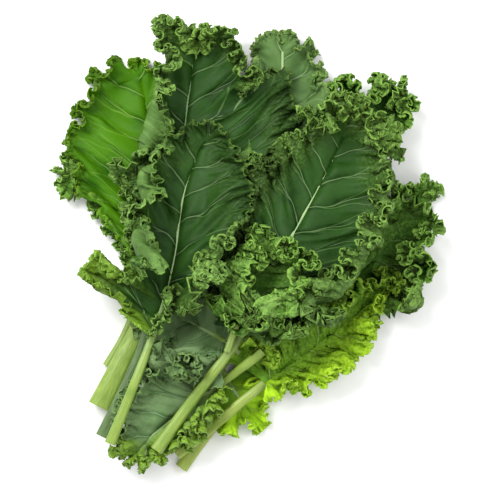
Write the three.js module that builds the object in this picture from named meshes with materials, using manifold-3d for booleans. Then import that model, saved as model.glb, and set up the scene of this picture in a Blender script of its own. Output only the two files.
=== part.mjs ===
// A bunch of curly kale lying on a table: thirteen cut leaves heaped on one another.
// Millimetres, +Z up. Every leaf is two solids, a tapered stalk and the blade that it carries.
// The leaves are laid one at a time, lowest first, and each one settles on those below it.
import * as THREE from 'three';
import Module from 'manifold-3d';
import { mergeVertices } from 'three/addons/utils/BufferGeometryUtils.js';

// Blade: thin beside the midrib, and as deep as its ruffles at the margin.
const BLADE_DEPTH_AT_MIDRIB = 1.8;
const BLADE_DEPTH_AT_MARGIN = 12;
const BLADE_DEPTH_POWER = 1.5;
const BLADE_ROWS = 11;
const BLADE_CELLS_PER_SIDE = 3;
const BLADE_DROOP = 0.16;
// The blade's base keeps near its stalk: this far out, in cells or in stalk radii, and no steeper.
const BASE_CELLS = 1.5;
const BASE_RADII = 4;
const BASE_SLOPE = 0.3;

// Stalk: wider than high, with its two ends square to its run.
const STALK_SIDES = 8;
const STALK_SEGMENTS = 14;
const STALK_WIDTH = 1.12;
const STALK_HEIGHT = 0.88;
const STALK_TAPER_POWER = 0.8;

// Clearances between a leaf's own stalk and blade, and between one leaf and the heap below.
const SEAT_GAP = 0.8;
const GROOVE_GAP = 0.4;
const HEAP_GAP = 1.1;
const TABLE_PRESS = 1.2;

// The heap's upper surface is kept on a square grid.
const CELL = 2;
const REACH = 215;

// How a piece settles: rounds of sagging and smoothing, then rounds that only clear the heap.
const SETTLING_ROUNDS = 160;
const CLEARING_ROUNDS = 60;
const SAG_STEP = 0.35;
const SMOOTHING = 0.35;
const START_HEIGHT = 60;
// A touch moves only the nodes that have at least this share in it.
const LEAST_SHARE = 0.12;
// Where a stalk is tested, as shares of its half width, and how often along and across.
const STALK_TOUCH_SIDES = [-0.8, 0, 0.8];
const TOUCHES_PER_SEGMENT = 4;
const TOUCHES_PER_CELL = 4;

// Corners nearer than this become one.
const WELD_DISTANCE = 1e-3;

// One entry for each leaf, lowest first.
// route: where the stalk and midrib run, from the cut end to the tip, seen from above.
// radii: of the stalk at its cut end and at the tip of its midrib.
// bladeFrom: how far along the route the blade starts, as a fraction.
// left and right: how far the blade reaches from the midrib, from its base to its tip.
// spread: the angles between the midrib and the base's edge, left and right, in degrees.
const LEAVES = [
  {
    name: 'far_right',
    route: [[-55, -178], [-34, -150], [0, -110], [44, -64], [88, -22], [124, 16], [142, 44]],
    radii: [5, 1.8], bladeFrom: 0.45, left: [16, 36, 40, 32, 14], right: [14, 33, 38, 27, 12],
  },
  {
    name: 'small_low',
    route: [[-27, -90], [-17, -110], [-7, -124], [1, -135]],
    radii: [3, 1.4], bladeFrom: 0.3, left: [8, 14, 15, 13, 8], right: [8, 13, 15, 13, 8],
  },
  {
    name: 'left_low',
    route: [[-114, -97], [-99, -70], [-88, -36], [-90, -4], [-106, 24], [-126, 43], [-144, 52]],
    radii: [4, 1.6], bladeFrom: 0.36, left: [6, 10, 14, 18, 14], right: [10, 22, 30, 28, 18],
  },
  {
    name: 'left',
    route: [[-119, -129], [-103, -96], [-85, -58], [-75, -14], [-74, 32], [-77, 76], [-83, 112],
      [-88, 132]],
    radii: [10, 2], bladeFrom: 0.36, left: [12, 32, 66, 62, 32], right: [12, 30, 36, 34, 22],
  },
  {
    name: 'top_right',
    route: [[-68, -150], [-28, -102], [14, -44], [56, 16], [88, 66], [107, 98], [116, 118]],
    radii: [5, 1.8], bladeFrom: 0.38, left: [20, 44, 52, 54, 34], right: [18, 36, 32, 22, 15],
  },
  {
    name: 'top_middle', faceDown: true,
    route: [[-80, -148], [-48, -94], [-18, -36], [4, 24], [18, 76], [25, 126], [26, 154]],
    radii: [5, 1.8], bladeFrom: 0.42, left: [16, 36, 38, 34, 22], right: [16, 34, 40, 40, 26],
  },
  {
    name: 'top_left',
    route: [[-117, -152], [-98, -112], [-81, -70], [-67, -14], [-58, 52], [-50, 108], [-45, 148],
      [-43, 166]],
    radii: [5.5, 1.8], bladeFrom: 0.42, left: [16, 34, 38, 34, 24], right: [16, 42, 62, 46, 24],
  },
  {
    name: 'low_right',
    route: [[-59, -166], [-29, -143], [-3, -121], [20, -103], [52, -80], [86, -54], [111, -32]],
    radii: [5, 1.8], bladeFrom: 0.42, left: [14, 34, 40, 32, 14], right: [10, 23, 27, 24, 12],
  },
  {
    name: 'low_left',
    route: [[10, -84], [-18, -106], [-44, -124], [-72, -146], [-90, -165]],
    radii: [4, 1.6], bladeFrom: 0.34, left: [10, 20, 24, 22, 14], right: [12, 36, 46, 38, 20],
  },
  {
    name: 'inner_left',
    route: [[-8, -86], [-24, -74], [-42, -64], [-59, -58]],
    radii: [2.6, 1.4], bladeFrom: 0.24, left: [8, 15, 17, 15, 8], right: [8, 14, 17, 15, 9],
  },
  {
    name: 'middle_right',
    route: [[-74, -162], [-48, -126], [-30, -102], [-3, -65], [22, -14], [44, 26], [62, 60],
      [74, 86]],
    radii: [5, 1.8], bladeFrom: 0.42, left: [22, 40, 48, 46, 30], right: [22, 50, 58, 56, 36],
  },
  {
    name: 'crown',
    route: [[-18, -84], [-11, -64], [-3, -42], [3, -22], [6, -5]],
    radii: [3, 1.5], bladeFrom: 0.28, left: [16, 28, 34, 32, 18], right: [18, 32, 38, 34, 20],
  },
  {
    name: 'middle_left',
    route: [[-110, -156], [-92, -112], [-76, -70], [-62, -24], [-56, 14], [-51, 44], [-41, 72],
      [-35, 82]],
    radii: [4.2, 1.8], bladeFrom: 0.36, left: [12, 66, 58, 47, 45, 44, 40, 32, 20],
    right: [6, 20, 50, 56, 28], spread: [95, 105],
  },
];
const USUAL_SPREAD = [105, 105];
const TIP_SPREAD = 74;

const stalkMaterial = () => new THREE.MeshStandardMaterial({ color: 0x9fb862, roughness: 0.5 });
const bladeMaterial = () => new THREE.MeshStandardMaterial({ color: 0x3f6f2c, roughness: 0.62 });

/** The upper surface of the table and all that lies on it so far. */
class Heap {
  constructor() {
    this.side = Math.ceil((2 * REACH) / CELL);
    this.height = new Float32Array(this.side * this.side).fill(-HEAP_GAP - TABLE_PRESS);
  }

  cell(x, y) {
    const column = THREE.MathUtils.clamp(Math.floor((x + REACH) / CELL), 1, this.side - 2);
    const row = THREE.MathUtils.clamp(Math.floor((y + REACH) / CELL), 1, this.side - 2);
    return row * this.side + column;
  }

  /** The highest surface at a place and in the eight cells around it. */
  under(x, y) {
    const here = this.cell(x, y);
    let highest = -Infinity;
    for (const step of [-this.side, 0, this.side]) {
      for (const shift of [-1, 0, 1]) {
        highest = Math.max(highest, this.height[here + step + shift]);
      }
    }
    return highest;
  }

  /** Raises the surface to the top of a solid, by walking over each of its triangles. */
  add(geometry) {
    const position = geometry.getAttribute('position');
    const index = geometry.getIndex();
    const corners = [new THREE.Vector3(), new THREE.Vector3(), new THREE.Vector3()];
    for (let first = 0; first < index.count; first += 3) {
      corners.forEach((corner, i) => corner.fromBufferAttribute(position, index.getX(first + i)));
      this.addTriangle(...corners);
    }
  }

  addTriangle(a, b, c) {
    const steps = Math.ceil(Math.max(a.distanceTo(b), b.distanceTo(c), c.distanceTo(a)) / CELL) * 2;
    for (let i = 0; i <= steps; i += 1) {
      for (let j = 0; i + j <= steps; j += 1) {
        const [s, t] = [i / steps, j / steps];
        const x = a.x + (b.x - a.x) * s + (c.x - a.x) * t;
        const y = a.y + (b.y - a.y) * s + (c.y - a.y) * t;
        const z = a.z + (b.z - a.z) * s + (c.z - a.z) * t;
        const here = this.cell(x, y);
        this.height[here] = Math.max(this.height[here], z);
      }
    }
  }
}

/** A value read along a short list of evenly spaced ones, with smooth turns between them. */
function along(values, fraction) {
  const curve = new THREE.SplineCurve(values.map((value, i) => new THREE.Vector2(i, value)));
  return curve.getPoint(THREE.MathUtils.clamp(fraction, 0, 1)).y;
}

/** Where a leaf's midrib is at a fraction of its route, with the directions ahead and right. */
function midribAt(leaf, fraction) {
  const curve = leaf.curve;
  const point = curve.getPointAt(fraction);
  const ahead = curve.getTangentAt(fraction);
  return { point, ahead, right: new THREE.Vector2(ahead.y, -ahead.x) };
}

/** A stalk's radius at a fraction of its route. */
function stalkRadius(leaf, fraction) {
  return THREE.MathUtils.lerp(...leaf.radii, fraction ** STALK_TAPER_POWER);
}

/** A blade's depth at a share of the way from its midrib to its margin. */
function bladeDepth(share) {
  const { lerp } = THREE.MathUtils;
  return lerp(BLADE_DEPTH_AT_MIDRIB, BLADE_DEPTH_AT_MARGIN, share ** BLADE_DEPTH_POWER);
}

/** The place, seen from above, of a point of the blade: side from -1 to 1, row from 0 to 1. */
function bladePlan(leaf, side, row) {
  const fraction = THREE.MathUtils.lerp(leaf.bladeFrom, 1, row);
  const { point, ahead, right } = midribAt(leaf, fraction);
  const reaches = side < 0 ? leaf.left : leaf.right;
  const spread = (leaf.spread ?? USUAL_SPREAD)[side < 0 ? 0 : 1];
  const angle = THREE.MathUtils.degToRad(THREE.MathUtils.lerp(spread, TIP_SPREAD, row));
  const reach = Math.abs(side) * along(reaches, row);
  return point.clone()
    .addScaledVector(ahead, reach * Math.cos(angle))
    .addScaledVector(right, Math.sign(side) * reach * Math.sin(angle));
}

/**
 * Lets a piece sag on to the heap. nodes are its movable heights; each has neighbours that it
 * evens out with and, if it is held, a held flag. touches are the places where it is tested:
 * each has a place, a depth below the piece's middle surface, and the nodes' shares in it.
 */
function settle(nodes, touches, heap) {
  for (let round = 0; round < SETTLING_ROUNDS + CLEARING_ROUNDS; round += 1) {
    if (round < SETTLING_ROUNDS) {
      const means = nodes.map(({ neighbours }) => (
        neighbours.reduce((sum, other) => sum + nodes[other].z, 0) / neighbours.length));
      nodes.forEach((node, i) => {
        if (!node.held) {
          node.z += SMOOTHING * (means[i] - node.z) - SAG_STEP;
        }
      });
    }
    for (const { x, y, depth, shares } of touches) {
      const middle = shares.reduce((sum, [node, share]) => sum + share * nodes[node].z, 0);
      const lack = heap.under(x, y) + HEAP_GAP + depth - middle;
      const free = shares.filter(([node, share]) => !nodes[node].held && share > LEAST_SHARE);
      const weight = free.reduce((sum, [, share]) => sum + share * share, 0);
      if (lack > 0 && weight > 0) {
        free.forEach(([node, share]) => {
          nodes[node].z += (lack * share) / weight;
        });
      }
    }
    for (const node of nodes) {
      node.z = Math.max(node.z, node.lowest ?? -Infinity);
    }
  }
}

/** The heights of a stalk's axis at the ends of its segments, once it lies on the heap. */
function settledStalk(leaf, heap, startHeight) {
  const nodes = [];
  const touches = [];
  for (let i = 0; i <= STALK_SEGMENTS; i += 1) {
    const neighbours = [Math.max(i - 1, 0), Math.min(i + 1, STALK_SEGMENTS)];
    nodes.push({ z: startHeight, neighbours });
  }
  const steps = STALK_SEGMENTS * TOUCHES_PER_SEGMENT;
  for (let step = 0; step <= steps; step += 1) {
    const fraction = step / steps;
    const { point, right } = midribAt(leaf, fraction);
    const radius = stalkRadius(leaf, fraction);
    const segment = Math.min(Math.floor(step / TOUCHES_PER_SEGMENT), STALK_SEGMENTS - 1);
    const share = fraction * STALK_SEGMENTS - segment;
    for (const offset of STALK_TOUCH_SIDES) {
      const place = point.clone().addScaledVector(right, offset * radius * STALK_WIDTH);
      const depth = radius * STALK_HEIGHT * Math.sqrt(1 - offset * offset);
      const shares = [[segment, 1 - share], [segment + 1, share]];
      touches.push({ x: place.x, y: place.y, depth, shares });
    }
  }
  settle(nodes, touches, heap);
  return nodes.map((node) => node.z);
}

/** A tapered stalk, bent along its route at the given heights, and thicker by a margin if asked. */
function stalkGeometry(leaf, heights, margin = 0) {
  const geometry = new THREE.CylinderGeometry(
    1, 1, 1, STALK_SIDES, STALK_SEGMENTS, false, Math.PI / STALK_SIDES,
  );
  const position = geometry.getAttribute('position');
  for (let i = 0; i < position.count; i += 1) {
    const fraction = THREE.MathUtils.clamp(position.getY(i) + 0.5, 0, 1);
    const { point, right } = midribAt(leaf, fraction);
    const radius = stalkRadius(leaf, fraction) + margin;
    const height = heights[Math.round(fraction * STALK_SEGMENTS)];
    const place = point.addScaledVector(right, position.getX(i) * radius * STALK_WIDTH);
    const z = height + position.getZ(i) * radius * STALK_HEIGHT;
    position.setXYZ(i, place.x, place.y, Math.max(z, 0));
  }
  return closed(geometry);
}

/** The heights of a blade's middle surface, row by row, once it lies on the heap. */
function settledBlade(leaf, heap, stalkHeights) {
  const across = 2 * BLADE_CELLS_PER_SIDE;
  const node = (column, row) => row * (across + 1) + column;
  const nodes = [];
  for (let row = 0; row <= BLADE_ROWS; row += 1) {
    const fraction = THREE.MathUtils.lerp(leaf.bladeFrom, 1, row / BLADE_ROWS);
    const at = fraction * STALK_SEGMENTS;
    const before = Math.min(Math.floor(at), STALK_SEGMENTS - 1);
    const axis = THREE.MathUtils.lerp(stalkHeights[before], stalkHeights[before + 1], at - before);
    const seat = axis + stalkRadius(leaf, fraction) * STALK_HEIGHT + SEAT_GAP + bladeDepth(0) / 2;
    for (let column = 0; column <= across; column += 1) {
      const side = column / BLADE_CELLS_PER_SIDE - 1;
      const reach = Math.abs(side) * along(side < 0 ? leaf.left : leaf.right, row / BLADE_ROWS);
      const neighbours = [];
      if (column > 0) neighbours.push(node(column - 1, row));
      if (column < across) neighbours.push(node(column + 1, row));
      if (row > 0) neighbours.push(node(column, row - 1));
      if (row < BLADE_ROWS) neighbours.push(node(column, row + 1));
      const cellsOut = Math.abs(side) * BLADE_CELLS_PER_SIDE;
      const nearStalk = cellsOut < BASE_CELLS || reach < BASE_RADII * leaf.radii[0];
      nodes.push({
        z: seat - BLADE_DROOP * reach * Math.abs(side),
        neighbours,
        held: !leaf.faceDown && column === BLADE_CELLS_PER_SIDE,
        lowest: !leaf.faceDown && nearStalk ? seat - BASE_SLOPE * reach : undefined,
      });
    }
  }
  const touches = [];
  for (let i = 0; i <= across * TOUCHES_PER_CELL; i += 1) {
    for (let j = 0; j <= BLADE_ROWS * TOUCHES_PER_CELL; j += 1) {
      const column = Math.min(Math.floor(i / TOUCHES_PER_CELL), across - 1);
      const row = Math.min(Math.floor(j / TOUCHES_PER_CELL), BLADE_ROWS - 1);
      const s = i / TOUCHES_PER_CELL - column;
      const t = j / TOUCHES_PER_CELL - row;
      const side = (column + s) / BLADE_CELLS_PER_SIDE - 1;
      const place = bladeCorner(leaf, column, row, s, t);
      const shares = [
        [node(column, row), (1 - s) * (1 - t)], [node(column + 1, row), s * (1 - t)],
        [node(column, row + 1), (1 - s) * t], [node(column + 1, row + 1), s * t],
      ];
      touches.push({ x: place.x, y: place.y, depth: bladeDepth(Math.abs(side)) / 2, shares });
    }
  }
  settle(nodes, touches, heap);
  return nodes.map(({ z }) => z);
}

/** A place inside one cell of a blade, between the plans of the cell's corners. */
function bladeCorner(leaf, column, row, s, t) {
  const corner = (i, j) => {
    const side = (column + i) / BLADE_CELLS_PER_SIDE - 1;
    return bladePlan(leaf, side, (row + j) / BLADE_ROWS);
  };
  const near = corner(0, 0).lerp(corner(1, 0), s);
  return near.lerp(corner(0, 1).lerp(corner(1, 1), s), t);
}

/** A blade: a slab on its rows of heights, deeper towards the margin. */
function bladeGeometry(leaf, heights) {
  const across = 2 * BLADE_CELLS_PER_SIDE;
  const geometry = new THREE.BoxGeometry(2, 1, 2, across, BLADE_ROWS, 1);
  const position = geometry.getAttribute('position');
  for (let i = 0; i < position.count; i += 1) {
    const column = Math.round((position.getX(i) + 1) * BLADE_CELLS_PER_SIDE);
    const row = Math.round((position.getY(i) + 0.5) * BLADE_ROWS);
    const side = column / BLADE_CELLS_PER_SIDE - 1;
    const place = bladePlan(leaf, side, row / BLADE_ROWS);
    const middle = heights[row * (across + 1) + column];
    const z = middle + (position.getZ(i) * bladeDepth(Math.abs(side))) / 2;
    position.setXYZ(i, place.x, place.y, Math.max(z, 0));
  }
  return closed(geometry);
}

/** One body with shared corners. */
function closed(geometry) {
  geometry.deleteAttribute('normal');
  geometry.deleteAttribute('uv');
  geometry.clearGroups();
  const merged = mergeVertices(geometry, WELD_DISTANCE);
  merged.computeVertexNormals();
  return merged;
}

/** A geometry as a solid that can be cut. */
function solid(geometry) {
  return new wasm.Manifold(new wasm.Mesh({
    numProp: 3,
    vertProperties: new Float32Array(geometry.getAttribute('position').array),
    triVerts: new Uint32Array(geometry.getIndex().array),
  }));
}

/** The geometry of a solid's largest part, without the crumbs that a cut leaves. */
function largestPart(cut) {
  const parts = cut.decompose().sort((a, b) => b.volume() - a.volume());
  const mesh = parts[0].getMesh();
  const geometry = new THREE.BufferGeometry();
  geometry.setAttribute('position', new THREE.BufferAttribute(mesh.vertProperties, 3));
  geometry.setIndex(new THREE.BufferAttribute(mesh.triVerts, 1));
  geometry.computeVertexNormals();
  return geometry;
}

/** Lays one leaf on the heap and gives back its stalk and its blade. */
function layLeaf(leaf, heap) {
  leaf.curve = new THREE.SplineCurve(leaf.route.map(([x, y]) => new THREE.Vector2(x, y)));
  const pieces = {};
  const layStalk = () => {
    pieces.heights = settledStalk(leaf, heap, START_HEIGHT);
    pieces.stalk = stalkGeometry(leaf, pieces.heights);
  };
  const layBlade = () => {
    pieces.blade = bladeGeometry(leaf, settledBlade(leaf, heap, pieces.heights));
    heap.add(pieces.blade);
  };
  const cutGroove = () => {
    const groove = solid(stalkGeometry(leaf, pieces.heights, GROOVE_GAP / STALK_HEIGHT));
    pieces.blade = largestPart(solid(pieces.blade).subtract(groove));
  };
  if (leaf.faceDown) {
    pieces.heights = new Array(STALK_SEGMENTS + 1).fill(START_HEIGHT);
    layBlade();
    layStalk();
  } else {
    layStalk();
    layBlade();
  }
  cutGroove();
  heap.add(pieces.stalk);
  return [
    [`${leaf.name}_stalk`, pieces.stalk, stalkMaterial()],
    [`${leaf.name}_blade`, pieces.blade, bladeMaterial()],
  ];
}

const wasm = await Module();
wasm.setup();

const group = new THREE.Group();
const heap = new Heap();
for (const leaf of LEAVES) {
  for (const [name, geometry, material] of layLeaf(leaf, heap)) {
    const mesh = new THREE.Mesh(geometry, material);
    mesh.name = name;
    group.add(mesh);
  }
}

// The origin is below the middle of the bunch, on the table.
const bounds = new THREE.Box3().setFromObject(group);
const middle = bounds.getCenter(new THREE.Vector3());
group.position.set(-middle.x, -middle.y, -bounds.min.z);

export default group;
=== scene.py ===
"""The looks of a bunch of curly kale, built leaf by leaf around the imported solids."""
import logging
import math
from collections.abc import Callable
from dataclasses import dataclass, field
from enum import Enum
from typing import ClassVar

import bmesh
import bpy
import numpy as np
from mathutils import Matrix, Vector
from mathutils.bvhtree import BVHTree


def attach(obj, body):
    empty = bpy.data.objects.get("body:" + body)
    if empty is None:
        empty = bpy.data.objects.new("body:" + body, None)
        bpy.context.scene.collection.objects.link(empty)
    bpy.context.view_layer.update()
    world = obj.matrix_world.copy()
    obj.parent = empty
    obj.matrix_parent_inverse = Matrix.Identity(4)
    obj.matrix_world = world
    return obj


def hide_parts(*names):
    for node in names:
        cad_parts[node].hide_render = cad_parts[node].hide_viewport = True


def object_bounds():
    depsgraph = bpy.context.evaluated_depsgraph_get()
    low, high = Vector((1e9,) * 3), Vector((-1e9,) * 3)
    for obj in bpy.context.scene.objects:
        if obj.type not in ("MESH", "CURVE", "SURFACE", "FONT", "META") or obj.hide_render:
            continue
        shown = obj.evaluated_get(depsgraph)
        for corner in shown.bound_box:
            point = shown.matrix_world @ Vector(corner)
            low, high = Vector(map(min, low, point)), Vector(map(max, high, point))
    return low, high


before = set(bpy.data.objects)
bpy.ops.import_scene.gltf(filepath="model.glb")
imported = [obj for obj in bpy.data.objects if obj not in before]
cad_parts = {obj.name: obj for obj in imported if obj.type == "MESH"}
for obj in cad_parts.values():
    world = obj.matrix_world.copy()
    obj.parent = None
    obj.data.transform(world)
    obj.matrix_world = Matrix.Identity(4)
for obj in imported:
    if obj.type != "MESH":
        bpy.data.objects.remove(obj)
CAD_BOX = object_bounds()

log = logging.getLogger("kale")

MM = 0.001
Array = np.ndarray
Colour = tuple[float, float, float]


class Tone(Enum):
    """How a blade is coloured."""

    DEEP = "deep"
    FRESH = "fresh"
    BRIGHT = "bright"
    TENDER = "tender"
    PALE = "pale"
    SLATE = "slate"


# --------------------------------------------------------------------------------------
# Finishes
# --------------------------------------------------------------------------------------


@dataclass(frozen=True)
class BladeFinish:
    """The colours of one blade, as linear red, green and blue.

    deep and light are the two ends of the upper side's mottling, which is partly painted shade:
    darker in the dips beside the veins and lighter on the bulges between them. A share of deep is
    also the painted shade in the frizz's pits and on the darkened stretches of the margin. rim is the
    paler colour that it turns to at the margin, on the frizz and on the crests of its crimps, partly
    the margin's own colour and partly a painted highlight on its lit edges. vein is that of the
    veins, below that of the underside, and young that of the young stretches of the margin. glow is
    the colour of the light that comes through, and see_through the share of it. crimped is how
    strongly the frizz is mottled with painted shade in its pits and painted highlight on its crests,
    and how high its crimps are bumped.
    """

    deep: Colour
    light: Colour
    rim: Colour
    vein: Colour
    below: Colour
    glow: Colour
    young: Colour = (0.24, 0.42, 0.02)
    see_through: float = 0.25
    roughness: float = 0.5
    crimped: float = 1.0


@dataclass(frozen=True)
class StalkFinish:
    """The colours of one stalk, as linear red, green and blue."""

    skin: Colour
    streak: Colour
    rib: Colour
    cut: Colour
    roughness: float = 0.42


def srgb(red: float, green: float, blue: float) -> Colour:
    """Turns a colour on the 0 to 255 scale of a screen into linear values.

    Args:
        red: The red part.
        green: The green part.
        blue: The blue part.

    Returns:
        The linear red, green and blue.
    """

    def linear(value: float) -> float:
        """Turns one channel."""
        part = value / 255
        return part / 12.92 if part <= 0.04045 else ((part + 0.055) / 1.055) ** 2.4

    return (linear(red), linear(green), linear(blue))


# The rim colours are partly a painted highlight on the lit edges and crests of the frizz.
BLADE_FINISHES = {
    Tone.DEEP: BladeFinish(
        deep=srgb(14, 44, 6), light=srgb(40, 76, 22), rim=srgb(142, 184, 84),
        vein=srgb(120, 152, 92), below=srgb(108, 144, 72), glow=srgb(100, 160, 20),
        see_through=0.16,
    ),
    Tone.FRESH: BladeFinish(
        deep=srgb(28, 70, 10), light=srgb(66, 116, 30), rim=srgb(150, 194, 86),
        vein=srgb(130, 162, 94), below=srgb(110, 148, 68), glow=srgb(110, 170, 20),
        see_through=0.18,
    ),
    Tone.BRIGHT: BladeFinish(
        deep=srgb(32, 84, 4), light=srgb(76, 130, 6), rim=srgb(150, 192, 56),
        vein=srgb(156, 194, 84), below=srgb(112, 154, 60), glow=srgb(150, 200, 16),
        see_through=0.3, crimped=0.6,
    ),
    Tone.TENDER: BladeFinish(
        deep=srgb(44, 90, 14), light=srgb(98, 148, 34), rim=srgb(180, 218, 76),
        vein=srgb(164, 200, 90), below=srgb(130, 172, 66), glow=srgb(170, 216, 20),
        young=(0.48, 0.8, 0.02), see_through=0.22, crimped=0.7,
    ),
    Tone.PALE: BladeFinish(
        deep=srgb(58, 92, 42), light=srgb(92, 124, 68), rim=srgb(138, 172, 84),
        vein=srgb(150, 176, 122), below=srgb(54, 96, 32), glow=srgb(120, 170, 40),
        see_through=0.2, crimped=0.5,
    ),
    Tone.SLATE: BladeFinish(
        deep=srgb(66, 102, 52), light=srgb(112, 140, 92), rim=srgb(126, 158, 84),
        vein=srgb(140, 162, 126), below=srgb(44, 84, 28), glow=srgb(100, 160, 40),
        see_through=0.14, crimped=0.6,
    ),
}

PALE_STALK = StalkFinish(
    skin=srgb(136, 160, 66), streak=srgb(94, 124, 36), rib=srgb(130, 156, 98),
    cut=srgb(200, 212, 156),
)
# The darker stalk is partly its own colour and partly painted shade, for a stalk that lies in shade.
DARK_STALK = StalkFinish(
    skin=srgb(100, 126, 70), streak=srgb(60, 86, 46), rib=srgb(100, 128, 82),
    cut=srgb(146, 164, 108),
)
YELLOW_STALK = StalkFinish(
    skin=srgb(156, 172, 74), streak=srgb(112, 136, 42), rib=srgb(132, 156, 90),
    cut=srgb(204, 212, 146),
)


# --------------------------------------------------------------------------------------
# Leaf plans, which repeat the routes and widths of the solids, in millimetres
# --------------------------------------------------------------------------------------


@dataclass(frozen=True)
class Ruffles:
    """How much longer a blade grows towards its margin.

    wide, fine and crisp are the extra lengths at the margin, as shares of its flat length, that
    make the broad waves, the frizz and the smallest crimps, and each zone is how far from the
    margin they reach. teeth is how deep the margin is cut, pucker the height of the small pits in
    the frizz, depth the largest zone as a share of the blade's own reach, and row_gap the
    distance between two rows of points. Millimetres.
    """

    wide: float = 1.9
    wide_zone: float = 28.0
    fine: float = 3.6
    fine_zone: float = 13.0
    crisp: float = 3.0
    crisp_zone: float = 5.0
    teeth: float = 1.3
    pucker: float = 1.1
    depth: float = 0.9
    row_gap: float = 0.27


@dataclass(frozen=True)
class Curl:
    """How the margin turns up and over, all round or along a stretch of it.

    start and end are fractions of the way round the margin, from the right of the blade's base
    over its tip to the left of its base. width is how much of the blade turns, beyond how far
    the blade, laid flat, runs past the solid's outline, and drift how much beyond grows from
    start to end. turn is the mean angle and sway how much it varies, in degrees, and radius is
    the roundness of the turn. calm is the share of the ruffles that the stretch does without, and
    young its share of the young colour where it is positive, and its share of painted shade, a darker
    colour, where it is negative.
    Millimetres.
    """

    start: float = -1.0
    end: float = 2.0
    width: float = 15.0
    beyond: float = 4.0
    drift: float = 0.0
    turn: float = 55.0
    sway: float = 70.0
    radius: float = 6.0
    calm: float = 0.0
    young: float = 0.0


@dataclass(frozen=True)
class LeafPlan:
    """One leaf as seen from above. The lengths are millimetres and the angles degrees.

    route is the stalk's and midrib's run from the cut end, radii are those of its two ends, and
    blade_from the fraction of the run at which the blade begins. left and right are the blade's
    reaches to either side, from its base to its tip, and spread the angle to the run at which
    they point at the base. tip is how far the blade runs on past its midrib, as a share of its
    reach there, crumple is how strongly the blade swells and sinks, and proud how high the midrib
    stands out of it. seed starts the leaf's own random draws.
    """

    name: str
    route: tuple[tuple[float, float], ...]
    radii: tuple[float, float]
    blade_from: float
    left: tuple[float, ...]
    right: tuple[float, ...]
    spread: tuple[float, float] = (105.0, 105.0)
    face_down: bool = False
    tone: Tone = Tone.FRESH
    stalk: StalkFinish = PALE_STALK
    stalk_slot: str = "stalk"
    blade_slot: str = "blade"
    ruffles: Ruffles = Ruffles()
    curls: tuple[Curl, ...] = (Curl(),)
    tip: float = 0.65
    crumple: float = 1.0
    proud: float = 1.5
    seed: int = 1


# The angle at which the reaches point at every blade's tip, and the shift of all the plans.
TIP_SPREAD = 74.0
PLAN_SHIFT = np.array([0.0, 3.0])

TUFTED = Ruffles(wide_zone=34, fine=4.6, fine_zone=27, crisp=1.6, crisp_zone=6)
MOSSY = Ruffles(
    wide=1.6, wide_zone=44, fine=4.2, fine_zone=70, crisp=1.6, crisp_zone=8, depth=1.5,
)
CALM = Ruffles(
    wide=1.2, wide_zone=20, fine=2.0, fine_zone=8, crisp=2.0, crisp_zone=4, row_gap=0.36,
)
LEAFY = Ruffles(
    wide=0.9, wide_zone=15, fine=2.4, fine_zone=8, crisp=2.6, crisp_zone=4, row_gap=0.32,
)

# A curl whose young is negative paints shade on its stretch of the margin.
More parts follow.
